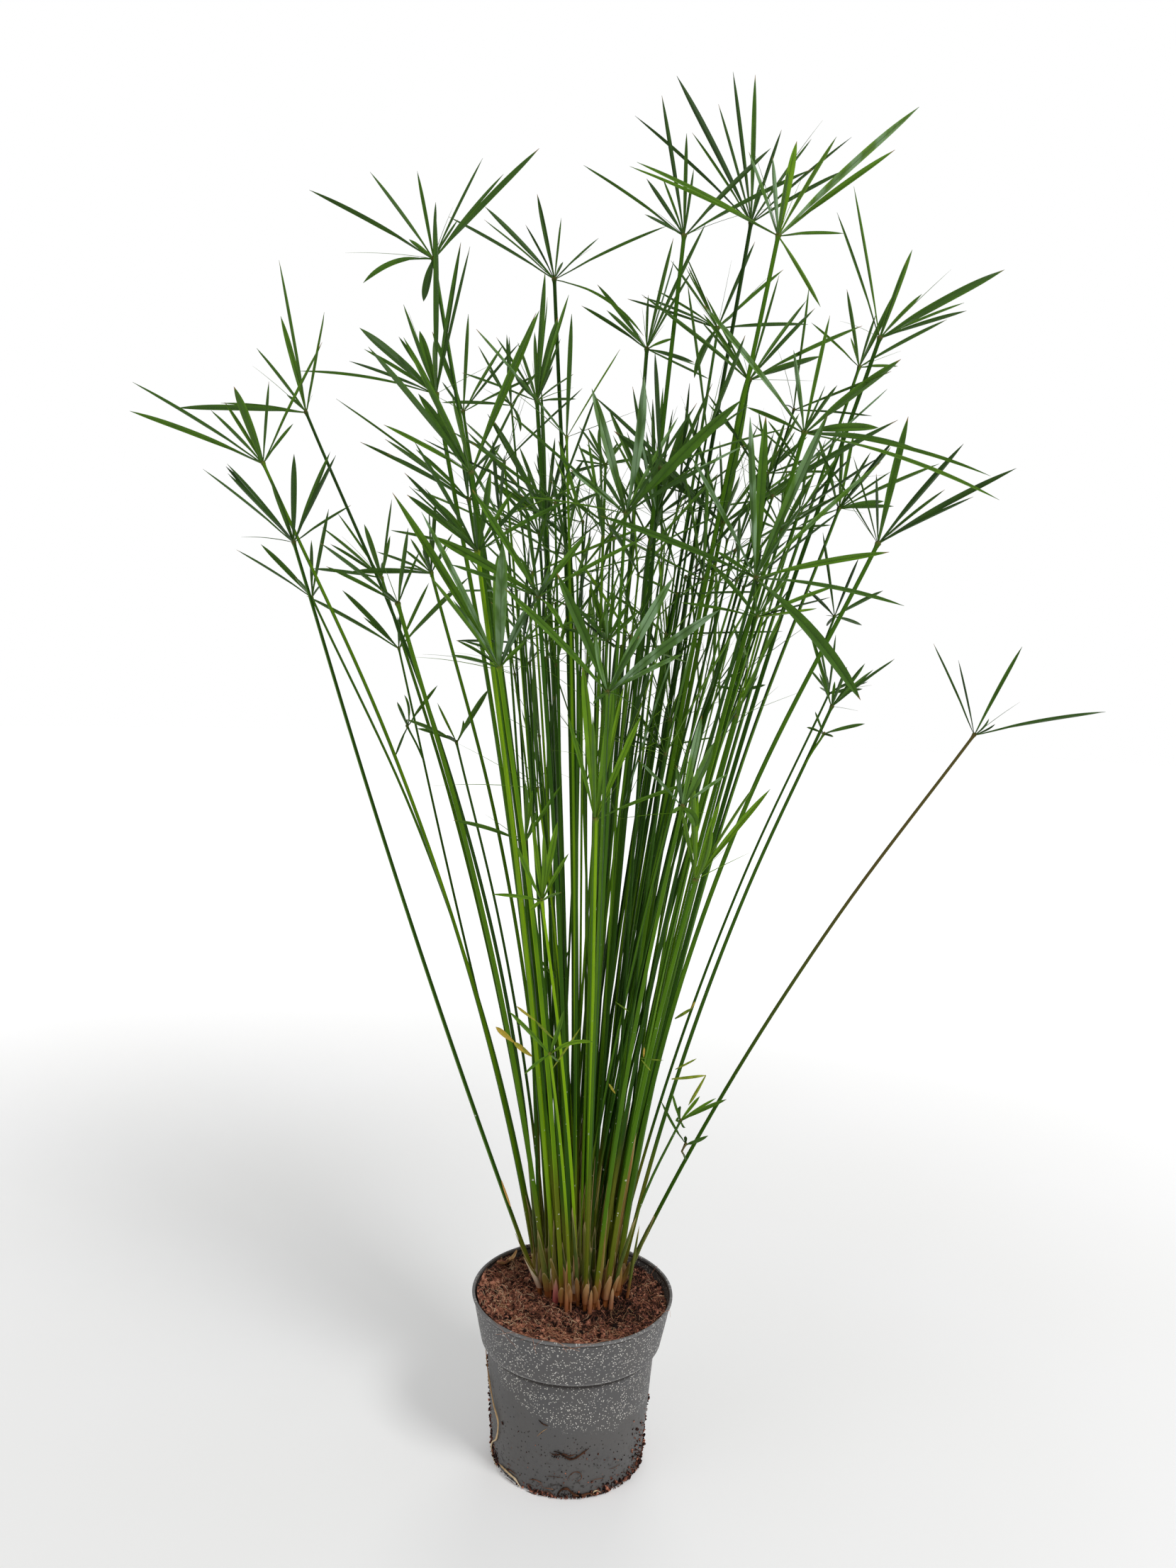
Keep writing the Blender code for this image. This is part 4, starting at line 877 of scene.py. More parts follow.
class SolidReader:
    """Finds the rings, necks and leaf sections in a shoot's solid by which corners are joined."""

    def __init__(self, node: bpy.types.Object) -> None:
        """Welds a copy of the node's mesh and notes each corner's neighbours.

        Args:
            node: The node's object.
        """
        mesh = bmesh.new()
        mesh.from_mesh(node.data)
        bmesh.ops.remove_doubles(mesh, verts=mesh.verts, dist=WELD)
        mesh.verts.index_update()
        self.places = np.array([vert.co for vert in mesh.verts])
        self.near = [{edge.other_vert(vert).index for edge in vert.link_edges} for vert in mesh.verts]
        mesh.free()

    def beyond(self, section: Section, used: Section) -> Section:
        """The corners joined to a section that aren't used."""
        return set().union(*(self.near[corner] for corner in section)) - used

    def rings(self, section: Section, used: Section) -> list[Section]:
        """The sections of three corners that follow one another from a start.

        Args:
            section: The first section.
            used: Corners that don't count.

        Returns:
            The sections, the first included.
        """
        found = [section]
        used = used | section
        while len(further := self.beyond(found[-1], used)) == 3:
            found.append(further)
            used = used | further
        return found

    def is_tip(self, corner: int) -> bool:
        """Whether a corner is a leaf's point: three joined neighbours, all well below it."""
        near = self.near[corner]
        if len(near) != 3 or any(len(self.near[other] & near) != 2 for other in near):
            return False
        ring = self.places[list(near)]
        size = np.linalg.norm(ring - ring.mean(0), axis=1).max()
        return np.linalg.norm(self.places[corner] - ring.mean(0)) > POINTED * size

    def middle(self, section: Section) -> Array:
        """The middle of a section."""
        return self.places[list(section)].mean(0)

    def leaves(self) -> list[Leaf]:
        """Each leaf's tip and its sections from there to the hub."""
        found = [(corner, self.rings(self.near[corner], {corner})) for corner in range(len(self.places))
                 if self.is_tip(corner)]
        return [leaf for leaf in found if len(leaf[1]) > 1]

    def crowns(self) -> list[tuple[list[Leaf], Section, Section]]:
        """Each crown's leaves, its neck's three corners and the corners above the neck."""
        groups: list[list[Leaf]] = []
        for leaf in self.leaves():
            root = self.middle(leaf[1][-1])
            for group in groups:
                if np.linalg.norm(self.middle(group[0][1][-1]) - root) < WHORL:
                    group.append(leaf)
                    break
            else:
                groups.append([leaf])
        found = []
        for group in groups:
            above = set().union(*({tip}.union(*sections) for tip, sections in group))
            hub = set().union(*(sections[-1] for _, sections in group))
            found.append((group, self.beyond(hub, above), above))
        return found

    def crown(self, leaves: list[Leaf], neck: Section) -> Crown:
        """A crown's measures.

        Args:
            leaves: Its leaves' tips and sections.
            neck: The neck's three corners.

        Returns:
            The crown.
        """
        corners = self.places[sorted(neck)]
        centre = corners.mean(0)
        axis = unit(np.cross(corners[1] - corners[0], corners[2] - corners[0]))
        axis *= np.sign(axis @ (self.middle(leaves[0][1][-1]) - centre))
        hub = centre + axis * NECK
        girth = np.linalg.norm(corners - centre, axis=1).mean() / CORNER if len(neck) == 3 else SIDE_GIRTH
        blades = [self.blade(hub, axis, tip, sections[-2]) for tip, sections in leaves]
        reach = float(np.mean([np.linalg.norm(blade.tip - blade.root) for blade in blades]))
        return Crown(hub, axis, girth, blades, reach)

    def blade(self, hub: Array, axis: Array, tip: int, widest: Section) -> Blade:
        """A leaf's measures.

        Args:
            hub: The place that it grows from.
            axis: The way that the stem comes in.
            tip: The corner at its point.
            widest: The corners of its widest section.

        Returns:
            The leaf.
        """
        first, second, keel = self.edges_and_keel(widest)
        centre = (first + second) / 2
        end = self.places[tip]
        control = (centre - hub * (1 - WIDEST) ** 2 - end * WIDEST**2) / (2 * WIDEST * (1 - WIDEST))
        straight = (hub + end) / 2
        bow = np.linalg.norm(control - straight) / np.linalg.norm(end - hub)
        control = straight + (control - straight) * (STIFFNESS if bow < HANGING else SLACKNESS)
        outward = centre - hub
        root_side = unit(np.cross(axis, outward - axis * (outward @ axis)))
        side = unit(first - second)
        if np.cross(side, end - hub) @ (keel - centre) < 0:
            side = -side
        if root_side @ side < 0:
            root_side = -root_side
        return Blade(hub, control, end, float(np.linalg.norm(first - second)), root_side, side)

    def edges_and_keel(self, section: Section) -> tuple[Array, Array, Array]:
        """A leaf section's corners: its two edges, which lie furthest apart, and its keel."""
        corners = self.places[sorted(section)]
        gaps = [np.linalg.norm(corners[(index + 1) % 3] - corners[(index + 2) % 3]) for index in range(3)]
        keel = int(np.argmax(gaps))
        return corners[(keel + 1) % 3], corners[(keel + 2) % 3], corners[keel]

    def culm(self, neck: Section, above: Section) -> tuple[Array, Array]:
        """The culm's middle points from its foot to its neck, and its mean radii there.

        Args:
            neck: The neck's three corners.
            above: The crown's own corners.

        Returns:
            Points and radii.
        """
        foot = set(np.argsort(self.places[:, 2])[:3].tolist())
        sections = {tuple(sorted(ring)) for ring in self.rings(neck, above) + self.rings(foot, set())}
        points = {tuple(self.middle(ring)): self.places[list(ring)] for ring in sections}
        order = sorted(points, key=lambda point: point[2])
        radii = [np.linalg.norm(points[point] - np.array(point), axis=1).mean() / CORNER for point in order]
        return np.array(order), np.array(radii)


# ---- shoots


class Tone(Enum):
    """How light a shoot's green is."""

    DEEP = 0.38
    USUAL = 0.53
    LIGHT = 0.62
    YELLOWISH = 0.74
    BRIGHT = 0.86


TONES = {
    Tone.DEEP: ("crest_10", "crest_11", "left_03", "right_07", "crest_09", "right_05"),
    Tone.LIGHT: ("front_08", "left_09", "front_02", "front_06", "heart_04"),
    Tone.YELLOWISH: ("low_02", "low_03", "low_01", "crest_12"),
    Tone.BRIGHT: ("front_05", "front_07", "front_10"),
}
# Shoots that stand inside the clump, where each crown has more narrow leaves than its solid.
INNER_SHOOTS = ("heart", "front_02", "front_04", "front_09", "crest_06", "crest_07", "crest_08", "crest_13",
                "crest_14", "crest_15", "right_04", "right_08", "left_08")
INNER_LEAVES = 4
# Culms that are lighter than their leaves, some of them lime green, and how light they are at least.
LIGHT_CULMS = {"crest_06": 0.85, "heart_04": 0.85, "front_05": 0.85, "front_08": 0.85, "left_03": 0.50,
               "right_07": 0.46}
UPRIGHT = 0.45  # how steeply an upright leaf rises at least, as the sine of its angle
SHINE_SHARE = 0.7  # how many of those leaves shine
LONG_SHEATHS = 0.75  # the share of culms that have a longer sheath
PEELING = 0.22  # the share of culms on which a strip peels off
WEAR = (1.2, 2.2)  # the two shapes of the beta distribution by which culms are worn
# Culms that are green down to the soil.
FRESH_CULMS = ("right_07", "right_05", "left_03")
# Culms that turn brown towards their crown, and how far.
BROWN_CULMS = {"right_07": 0.85}
# Shoots whose leaves are slimmer than their solids, and by what factor.
SLIM_LEAVES = {"right_07": 0.7, "right_05": 0.75, "crest_09": 0.85}
# The short sheaths that show most: their heights in mm, the ways that they face in degrees, and their tones.
FRONT_SHEATHS = {
    "left_03": (31, -150, 0.02), "left_06": (20, -100, 0.62), "heart_04": (17, -80, 0.45),
    "low_02": (22, -110, 0.38), "front_07": (27, -95, 0.40), "front_03": (24, -75, 0.34),
    "front_08": (20, -120, 0.42), "front_10": (26, -70, 0.32), "front_01": (22, -95, 0.38),
    "low_03": (24, -60, 0.36), "right_05": (30, -100, 0.42),
}
# The rings of the node under a crown: how far each lies from the neck to the hub, its radius as a share
# of the culm's, and how yellow it is.
HUB_RINGS = np.array([(0.45, 1.05, 0.0), (0.75, 1.25, 0.1), (0.95, 1.5, 0.4), (1.12, 1.45, 0.6),
                      (1.25, 0.95, 0.8), (1.30, 0.3, 0.8)])
# Shoots whose upper leaves catch the light, and have a whitish sheen.
SHINING = ("front_01", "heart_06", "front_03", "right_03", "heart_04", "front_08", "crest_12")


@dataclass
class Sheath:
    """A papery sheath round the foot of a culm, cut slantwise to a point that stands off."""

    line: Array
    radius: float
    height: float
    facing: float  # the azimuth that its point is on
    tone: float
    flare: float  # how far its point stands off the culm
    stations: int = 9
    corners: int = 12
    look: int = 2  # the number of its finish
    collar: float = 0.34  # how high it closes round the culm, as a share of its height
    thickness: float = 0.35 * MM

    def wall(self, radius: float, shares: Array) -> Array:
        """Rings of one face of the sheath.

        Args:
            radius: The face's radius at the soil.
            shares: How far up the face each ring lies.

        Returns:
            Places by station and corner.
        """
        turns = np.arange(self.corners) * TURN / self.corners
        towards = (1 + np.cos(turns - self.facing)) / 2
        reach = self.height * (self.collar + (1 - self.collar) * towards**3)
        heights = self.line[0, 2] + shares[:, None] * reach
        centre = np.stack([np.interp(heights, self.line[:, 2], column) for column in self.line.T], axis=-1)
        spoke = np.stack([np.cos(turns), np.sin(turns), np.zeros(self.corners)], axis=-1)
        swell = 1 - 0.06 * shares[:, None]
        return centre + spoke * (radius * swell + self.flare * shares[:, None] ** 2 * towards)[..., None]

    def skin_onto(self, skin: Skin) -> None:
        """Adds the sheath: up its outside, over its edge and down its inside."""
        shares = np.linspace(0, 1, self.stations)
        outer = self.wall(self.radius, shares)
        inner = self.wall(self.radius - self.thickness, shares[::-1])
        along = np.concatenate([shares, shares[::-1]])[:, None]
        turns = np.arange(self.corners) / self.corners
        skin.loft(np.concatenate([outer, inner]), self.look, along=along, across=turns, tone=self.tone)


@dataclass
class Shoot:
    """A culm with its sheaths, its crown, and the side crown that a few have."""

    name: str
    points: Array
    radii: Array
    crowns: list[Crown]
    tone: Tone
    chance: Chance
    inner_leaves: int  # how many narrow leaves a crown has between those of its solid
    inner_widths: Pair = (1.8 * MM, 4.0 * MM)
    inner_rise: Pair = (0.0, 82.0)  # how steeply they rise, in degrees
    shining: bool = False
    wear: float = 0.0  # how far up the culm is olive with age
    brown: float = 0.0  # how brown it is under the crown
    corners: int = 15
    skin: Skin = field(default_factory=Skin)

    @classmethod
    def read(cls, node: str, number: int) -> "Shoot":
        """Reads a shoot from its solid.

        Args:
            node: The solid's name.
            number: The shoot's number, which seeds its own chances.

        Returns:
            The shoot.
        """
        solid = SolidReader(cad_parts[node])
        found = sorted(solid.crowns(), key=lambda crown: -solid.middle(crown[1])[2])
        points, radii = solid.culm(found[0][1], found[0][2])
        short = node.removeprefix("shoot_")
        tone = next((tone for tone, names in TONES.items() if short in names), Tone.USUAL)
        crowns = [solid.crown(leaves, neck) for leaves, neck, _ in found]
        for blade in crowns[0].blades:
            blade.width *= SLIM_LEAVES.get(short, 1.0)
        inner = INNER_LEAVES if short.startswith(INNER_SHOOTS) else 0
        chance = np.random.default_rng(100 + number)
        wear = float(chance.beta(*WEAR)) * (short not in FRESH_CULMS)
        return cls("papyrus_" + short, points, radii, crowns, tone, chance, inner, shining=short in SHINING,
                   wear=wear, brown=BROWN_CULMS.get(short, 0.0))

    @property
    def short(self) -> str:
        """The shoot's name without the plant's, as the lists above give it."""
        return self.name.removeprefix("papyrus_")

    def stem(self, line: Array, radii: Array, hub: Array, tone: float) -> None:
        """Adds a stem that swells into the hub under a crown.

        Args:
            line: The stem's places up to the neck.
            radii: Its radii.
            hub: The hub's place.
            tone: How light its green is.
        """
        rise, swell, yellow = HUB_RINGS.T
        whole = np.concatenate([line, line[-1] + (hub - line[-1]) * rise[:, None]])
        girth = np.concatenate([radii, radii[-1] * swell])
        browning = self.brown * np.clip(np.linspace(-0.9, 1.6, len(line)), 0, 1)
        marks = np.concatenate([browning, np.maximum(self.brown, yellow)])[:, None]
        turns = np.arange(self.corners) / self.corners
        # Painted light and shade: of the culm's three faces one is made lighter and one darker, as a lit face
        # and a shaded one, in a random order for each culm.
        sides = self.chance.permutation([0.18, -0.04, -0.22]) + self.chance.normal(0, 0.06, 3)
        faces = sides[(turns * 3 + 0.5).astype(int) % 3]
        rings = tube(whole, girth, three_sided(self.corners), self.chance.uniform(0, TURN))
        self.skin.loft(rings, 1, across=turns, tone=tone + faces, upper=marks, pale=self.wear)

    def culm(self) -> Array:
        """Adds the culm.

        Returns:
            Its line above the soil.
        """
        count = max(12, int(np.ptp(self.points[:, 2]) / STATION))
        line = smooth_line(self.points, count)
        radii = np.interp(line[:, 2], self.points[:, 2], self.radii)
        tone = max(LIGHT_CULMS.get(self.short, 0.0), self.tone.value + self.chance.exponential(0.14) - 0.20)
        self.stem(line, radii, self.crowns[0].hub, tone)
        return line

    def stalks(self, line: Array) -> None:
        """Adds the stalk of each side crown, from inside the culm.

        Args:
            line: The culm's places.
        """
        for crown in self.crowns[1:]:
            height = crown.hub[2] - 3 * CM
            start = np.array([np.interp(height, line[:, 2], column) for column in line.T])
            neck = crown.hub - crown.axis * NECK
            stalk = smooth_line(np.array([start, (start + neck) / 2 + UP * MM, neck]), 6)
            self.stem(stalk, np.full(len(stalk), crown.girth), crown.hub, self.tone.value)

    def whorl(self, crown: Crown) -> None:
        """Adds the leaves that a crown's solid has.

        Args:
            crown: The crown.
        """
        for blade in crown.blades:
            upright = unit(blade.tip - blade.root)[2] > UPRIGHT
            shines = self.shining and upright and self.chance.random() < SHINE_SHARE
            pale = self.chance.uniform(0.5, 1.0) if shines else 0.0
            blade.twist = self.chance.normal(0, 0.35)
            blade.skin_onto(self.skin, self.tone.value + self.chance.normal(0, 0.09), pale)

    def narrow_leaves(self, crown: Crown) -> None:
        """Adds a crown's narrow leaves, in three bunches.

        Args:
            crown: The crown.
        """
        bunches = self.chance.uniform(0, TURN, 3)
        for index in range(self.inner_leaves):
            turn = bunches[index % 3] + self.chance.normal(0, 0.55)
            rise = math.radians(self.chance.uniform(*self.inner_rise))
            length = crown.reach * self.chance.uniform(0.7, 1.4)
            tip, side = crown.spoke(turn, rise, length)
            control = (crown.hub + tip) / 2 + crown.axis * length * self.chance.uniform(0.0, 0.05)
            width = self.chance.uniform(*self.inner_widths)
            leaf = Blade(crown.hub, control, tip, width, side, side, 12, twist=self.chance.normal(0, 0.4))
            pale = self.chance.uniform(0.4, 1.0) if self.chance.random() < 0.10 else 0.0
            leaf.skin_onto(self.skin, self.tone.value + self.chance.normal(0.0, 0.15), pale)

    def threads(self, crown: Crown) -> None:
        """Adds a crown's finest leaves, more of them to a larger crown.

        Args:
            crown: The crown.
        """
        count = round(crown.reach / (3 * CM)) - 1 + self.inner_leaves // 2
        for _ in range(count):
            length = crown.reach * self.chance.uniform(0.35, 1.1)
            rise = math.radians(self.chance.uniform(5, 68))
            tip, _ = crown.spoke(self.chance.uniform(0, TURN), rise, length)
            control = (crown.hub + tip) / 2 + crown.axis * length * self.chance.uniform(0.0, 0.09)
            thread = Thread(crown.hub, control, tip, self.chance.uniform(0.5, 1.2) * MM)
            thread.skin_onto(self.skin, self.tone.value + self.chance.uniform(-0.1, 0.2))

    def sheaths(self, line: Array) -> None:
        """Adds a short papery sheath, on most culms a longer green one, and on some a strip that peels off.

        Args:
            line: The culm's places above the soil.
        """
        radius = self.radii[0]
        facing = -math.pi / 2 + self.chance.normal(0, 0.8)
        tone = self.chance.choice([0.0, 0.08, 0.2, 0.28, 0.36, 0.42, 0.5, 0.58])
        height = self.chance.triangular(12, 20, 42) * MM
        shown = FRONT_SHEATHS.get(self.short)
        if shown:
            height, facing, tone = shown[0] * MM, math.radians(shown[1]), shown[2]
        Sheath(line[1:], radius * 1.42, height, facing, tone, 0.9 * MM).skin_onto(self.skin)
        if self.chance.random() < LONG_SHEATHS:
            height = self.chance.triangular(40, 75, 200) * MM
            turned = facing + self.chance.normal(0, 1.2)
            tone = self.chance.choice([0.5, 0.6, 0.66, 0.72, 0.78, 0.84, 0.9])
            Sheath(line[1:], radius * 1.28, height, turned, tone, 0.5 * MM, 14).skin_onto(self.skin)
        if self.chance.random() < PEELING:
            self.peeling_strip(line[1], facing)

    def peeling_strip(self, foot: Array, facing: float) -> None:
        """Adds a dry strip of sheath that stands off the culm.

        Args:
            foot: The middle of the culm where the strip starts.
            facing: The azimuth that it stands off to.
        """
        out = np.array([math.cos(facing), math.sin(facing), 0.0])
        start = foot + out * self.radii[0] + UP * 4 * MM
        tip = start + out * self.chance.uniform(2, 7) * MM + UP * self.chance.uniform(18, 42) * MM
        bow = (start + tip) / 2 + out * self.chance.uniform(-2, 3) * MM
        side = np.cross(UP, out)
        strip = Blade(start, bow, tip, self.chance.uniform(2.2, 3.6) * MM, side, side, 12, twist=2.2, look=2)
        strip.skin_onto(self.skin, self.chance.choice([0.05, 0.25, 0.42]))

    def build(self, node: str | None, finishes: Sequence[Material]) -> None:
        """Makes the shoot's piece.

        Args:
            node: The solid that it stands for, or None.
            finishes: The finishes of leaf, culm and sheath.
        """
        line = self.culm()
        self.stalks(line)
        for crown in self.crowns:
            self.whorl(crown)
            self.narrow_leaves(crown)
            self.threads(crown)
        self.sheaths(line)
        self.skin.piece(self.name, finishes, "leaf", *([node] if node else []))


FAR_AWAY = 10.0  # a culm counts as this far off at heights over its crown


@dataclass
class Thicket:
    """The slender shoots inside the clump that are too many to have solids of their own."""

    neighbours: list[Shoot]
    count: int = 82
    tries: int = 40  # how many culms are tried for each that stands
    # The heights of their crowns.
    lowest: float = 0.56
    usual: float = 0.84
    highest: float = 0.98
    clump: Pair = (6 * MM, 16 * MM)  # the middle of their feet
    clump_reach: float = 28 * MM
    fan: Pair = (0.155, 0.115)  # how far the crowns spread sideways and back, for each metre up
    fan_lean: Pair = (0.045, -0.030)  # how far the whole leans right and back, for each metre up
    droop: float = 0.10  # how far a culm's middle stands inside its straight line, for each metre of lean
    leaves: int = 3  # how many narrow leaves a grown crown has
    widths: Pair = (1.7 * MM, 4.2 * MM)
    girths: Pair = (1.2 * MM, 2.0 * MM)
    front_edge: float = -10 * MM  # no foot stands further forward, where the solids' culms do
    young: float = 0.74  # crowns below this height still hold their leaves upright
    chance: Chance = seeded(41)

    def track(self, points: Array, radii: Array) -> Array:
        """A culm's places and radius at even heights, far away above its crown.

        Args:
            points: Its line, from the foot up.
            radii: Its radii there.

        Returns:
            One row of x, y and radius for each height.
        """
        heights = np.linspace(SOIL_TOP + 4 * MM, self.highest, 40)
        rows = np.stack([np.interp(heights, points[:, 2], column)
                         for column in (points[:, 0], points[:, 1], radii)], axis=-1)
        rows[heights > points[-1, 2], :2] = FAR_AWAY
        return rows

    def around(self, reach: Array) -> Array:
        """A random place within an ellipse of that reach, as an offset from its middle."""
        turn = self.chance.uniform(0, TURN)
        return reach * math.sqrt(self.chance.random()) * np.array([math.cos(turn), math.sin(turn)])

    def candidate(self) -> tuple[Array, Array]:
        """A culm's line and radii, from a random foot to a random crown."""
        rise = self.chance.triangular(self.lowest, self.usual, self.highest) - SOIL_TOP
        centre = np.array(self.clump)
        spread = self.around(np.full(2, self.clump_reach) + np.array(self.fan) * rise)
        lean = np.array(self.fan_lean) * rise + spread
        foot = np.array([*(centre + lean * 0.12 + self.around(np.full(2, self.clump_reach))), SOIL_TOP])
        foot[1] = max(foot[1], self.front_edge)
        crown = np.array([*(centre + lean), SOIL_TOP + rise])
        control = (foot + crown) / 2 + (foot - crown) * [1, 1, 0] * 2 * self.droop
        line = np.concatenate([[foot - UP * 10 * MM], arch(foot, control, crown, np.linspace(0, 1, 12))])
        return line, self.chance.uniform(*self.girths) * np.linspace(1.25, 0.8, len(line))

    def roomiest(self, standing: list[Array]) -> tuple[Array, Array]:
        """The culm, of many tried, that stands furthest from those that are there."""
        best = (-1.0, *self.candidate())
        others = np.array(standing)
        for _ in range(self.tries):
            points, radii = self.candidate()
            own = self.track(points, radii)
            gaps = np.hypot(*(others[..., :2] - own[:, :2]).transpose(2, 0, 1)) - others[..., 2] - own[:, 2]
            if gaps.min() > best[0]:
                best = (gaps.min(), points, radii)
        return best[1:]

    def build(self, finishes: Sequence[Material]) -> None:
        """Makes the shoots, each where it has room among those that stand already.

        Args:
            finishes: The finishes of leaf, culm and sheath.
        """
        standing = [self.track(shoot.points, shoot.radii) for shoot in self.neighbours]
        for number in range(self.count):
            points, radii = self.roomiest(standing)
            standing.append(self.track(points, radii))
            axis = unit(points[-1] - points[-2])
            young = points[-1, 2] < self.young
            reach = self.chance.uniform(80, 135) if young else self.chance.uniform(60, 105)
            crown = Crown(points[-1] + axis * NECK, axis, radii[-1], [], reach * MM)
            tone = self.chance.choice([Tone.LIGHT, Tone.YELLOWISH] if young else
                                      [Tone.DEEP, Tone.USUAL, Tone.USUAL, Tone.USUAL, Tone.LIGHT])
            chance = np.random.default_rng(400 + number)
            shoot = Shoot(f"inner_shoot_{number + 1:02d}", points, radii, [crown], tone, chance,
                          self.leaves - int(young), self.widths, (62.0, 88.0) if young else (5.0, 84.0),
                          wear=float(chance.beta(*WEAR)), corners=12)
            shoot.build(None, finishes)


@dataclass(frozen=True)
class Wisp:
    """A wilted leaf, or a scrap of one, that hangs on the culm where it starts."""

    width: float  # in mm
    tones: Pair  # its tone where it starts and where it ends
    path: tuple[Place, ...]  # its places in cm, each sharp bend a place of its own

    def skin_onto(self, skin: Skin) -> None:
        """Adds the leaf, a blade for each straight part of it."""
        places = np.array(self.path) * CM
        parts = len(places) - 1
        for part, (first, last) in enumerate(zip(places, places[1:])):
            side = unit(np.cross(last - first, FRONT))
            middle = (first + last) / 2 + FRONT * np.linalg.norm(last - first) * 0.06
            share = (part + 0.5) / parts
            tone = self.tones[0] + (self.tones[1] - self.tones[0]) * share
            Blade(first, middle, last, self.width * MM, side, side, 12, twist=0.5).skin_onto(skin, tone)


WISPS = (
    Wisp(4.6, (0.50, 0.72), ((-4.4, -4.5, 40.1), (-6.0, -5.0, 41.5), (-7.6, -5.3, 42.9))),
    Wisp(2.2, (0.10, 0.60), ((-2.4, -10.5, 43.7), (-3.9, -10.9, 45.3), (-5.5, -11.3, 46.6))),
    Wisp(1.8, (0.20, 0.40), ((-2.3, -12.2, 41.7), (-0.1, -12.6, 45.4))),
    Wisp(3.4, (0.18, 0.40), ((8.2, -4.4, 38.4), (11.2, -4.8, 39.0))),
    Wisp(2.8, (0.40, 0.20), ((11.2, -4.8, 39.0), (9.7, -5.4, 36.4))),
    Wisp(2.2, (0.20, 0.40), ((8.5, -4.4, 39.3), (10.3, -4.8, 40.5))),
    Wisp(3.4, (0.05, 0.15), ((8.5, -1.6, 43.1), (10.0, -1.8, 44.2))),
    Wisp(1.8, (0.50, 0.60), ((9.9, -1.8, 44.1), (10.2, -2.1, 44.9))),
    Wisp(2.0, (0.45, 0.60), ((3.1, -7.4, 38.0), (2.5, -7.8, 39.0))),
    Wisp(1.4, (0.00, 0.20), ((5.2, -6.7, 41.0), (7.2, -7.1, 41.0))),
    Wisp(1.6, (0.20, 0.30), ((5.3, -6.9, 40.9), (6.1, -7.3, 40.1))),
    Wisp(1.5, (0.00, 0.20), ((2.8, -7.6, 46.2), (4.0, -8.0, 45.5))),
    Wisp(1.8, (0.60, 0.90), ((5.5, -6.4, 41.0), (5.5, -6.8, 42.0))),
    Wisp(2.2, (1.00, 1.00), ((-6.95, -1.45, 27.1), (-6.00, -1.55, 24.6))),
)


@dataclass(frozen=True)
class DeadSheath:
    """A dry sheath whose culm has rotted away."""

    foot: Pair  # in cm
    height: float  # in mm
    radius: float  # in mm
    tone: float
    lean: Pair = (0.0, 0.0)  # how far its top stands off its foot, in mm

    def skin_onto(self, skin: Skin) -> None:
        """Adds the sheath, from just under the soil up."""
        sunk = 3.0
        foot = np.array([*(np.array(self.foot) * CM), SOIL_TOP - sunk * MM])
        top = foot + np.array([*self.lean, self.height + sunk]) * MM
        Sheath(np.array([foot, top]), self.radius * MM, (self.height + sunk) * MM, -math.pi / 2, self.tone,
               0.0, 12, look=0).skin_onto(skin)


DEAD_SHEATHS = (
    DeadSheath((-0.5, -2.85), 54, 2.0, 0.40, (-0.5, -1.0)),
    DeadSheath((-0.1, -3.05), 12, 0.9, 0.10),
    DeadSheath((1.65, -3.0), 25, 2.1, 0.33, (1.0, -1.0)),
    DeadSheath((3.6, -2.0), 22, 2.2, 0.20, (1.5, -1.0)),
    DeadSheath((2.5, -2.7), 14, 1.6, 0.34, (-0.5, -0.5)),
    DeadSheath((5.2, 0.1), 74, 1.6, 0.78, (9.0, -2.0)),
)


@dataclass(frozen=True)
class YoungShoot:
    """The red bud at the front left of the clump: a pointed core in three overlapping scales."""

    height: float = 26 * MM
    radius: float = 3.0 * MM
    corners: int = 16

    def build(self) -> None:
        """Makes the bud's piece."""
        low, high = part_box("young_shoot")
        foot = np.array([(low.x + high.x) / 2, (low.y + high.y) / 2, high.z - self.height])
        shares = np.linspace(-0.4, 1, 22)
        girth = self.radius * 0.86 * np.clip(1.02 - np.clip(shares, 0, 1) ** 3.2, 0.04, 1)
        line = foot + UP * self.height * shares[:, None]
        skin = Skin()
        skin.loft(tube(line, girth, np.ones(self.corners)), tone=np.clip(shares, 0, 1)[:, None] * 0.9)
        for facing, share, tone in ((-1.9, 0.62, 0.25), (0.4, 0.80, 0.4), (2.4, 0.45, 0.15)):
            scale = Sheath(line, self.radius * 0.98, self.height * share, facing, tone, 0.1 * MM, 10, 16, 0)
            scale.skin_onto(skin)
        skin.piece("red_bud", [BUD_FINISH.material()], "bud", "young_shoot")


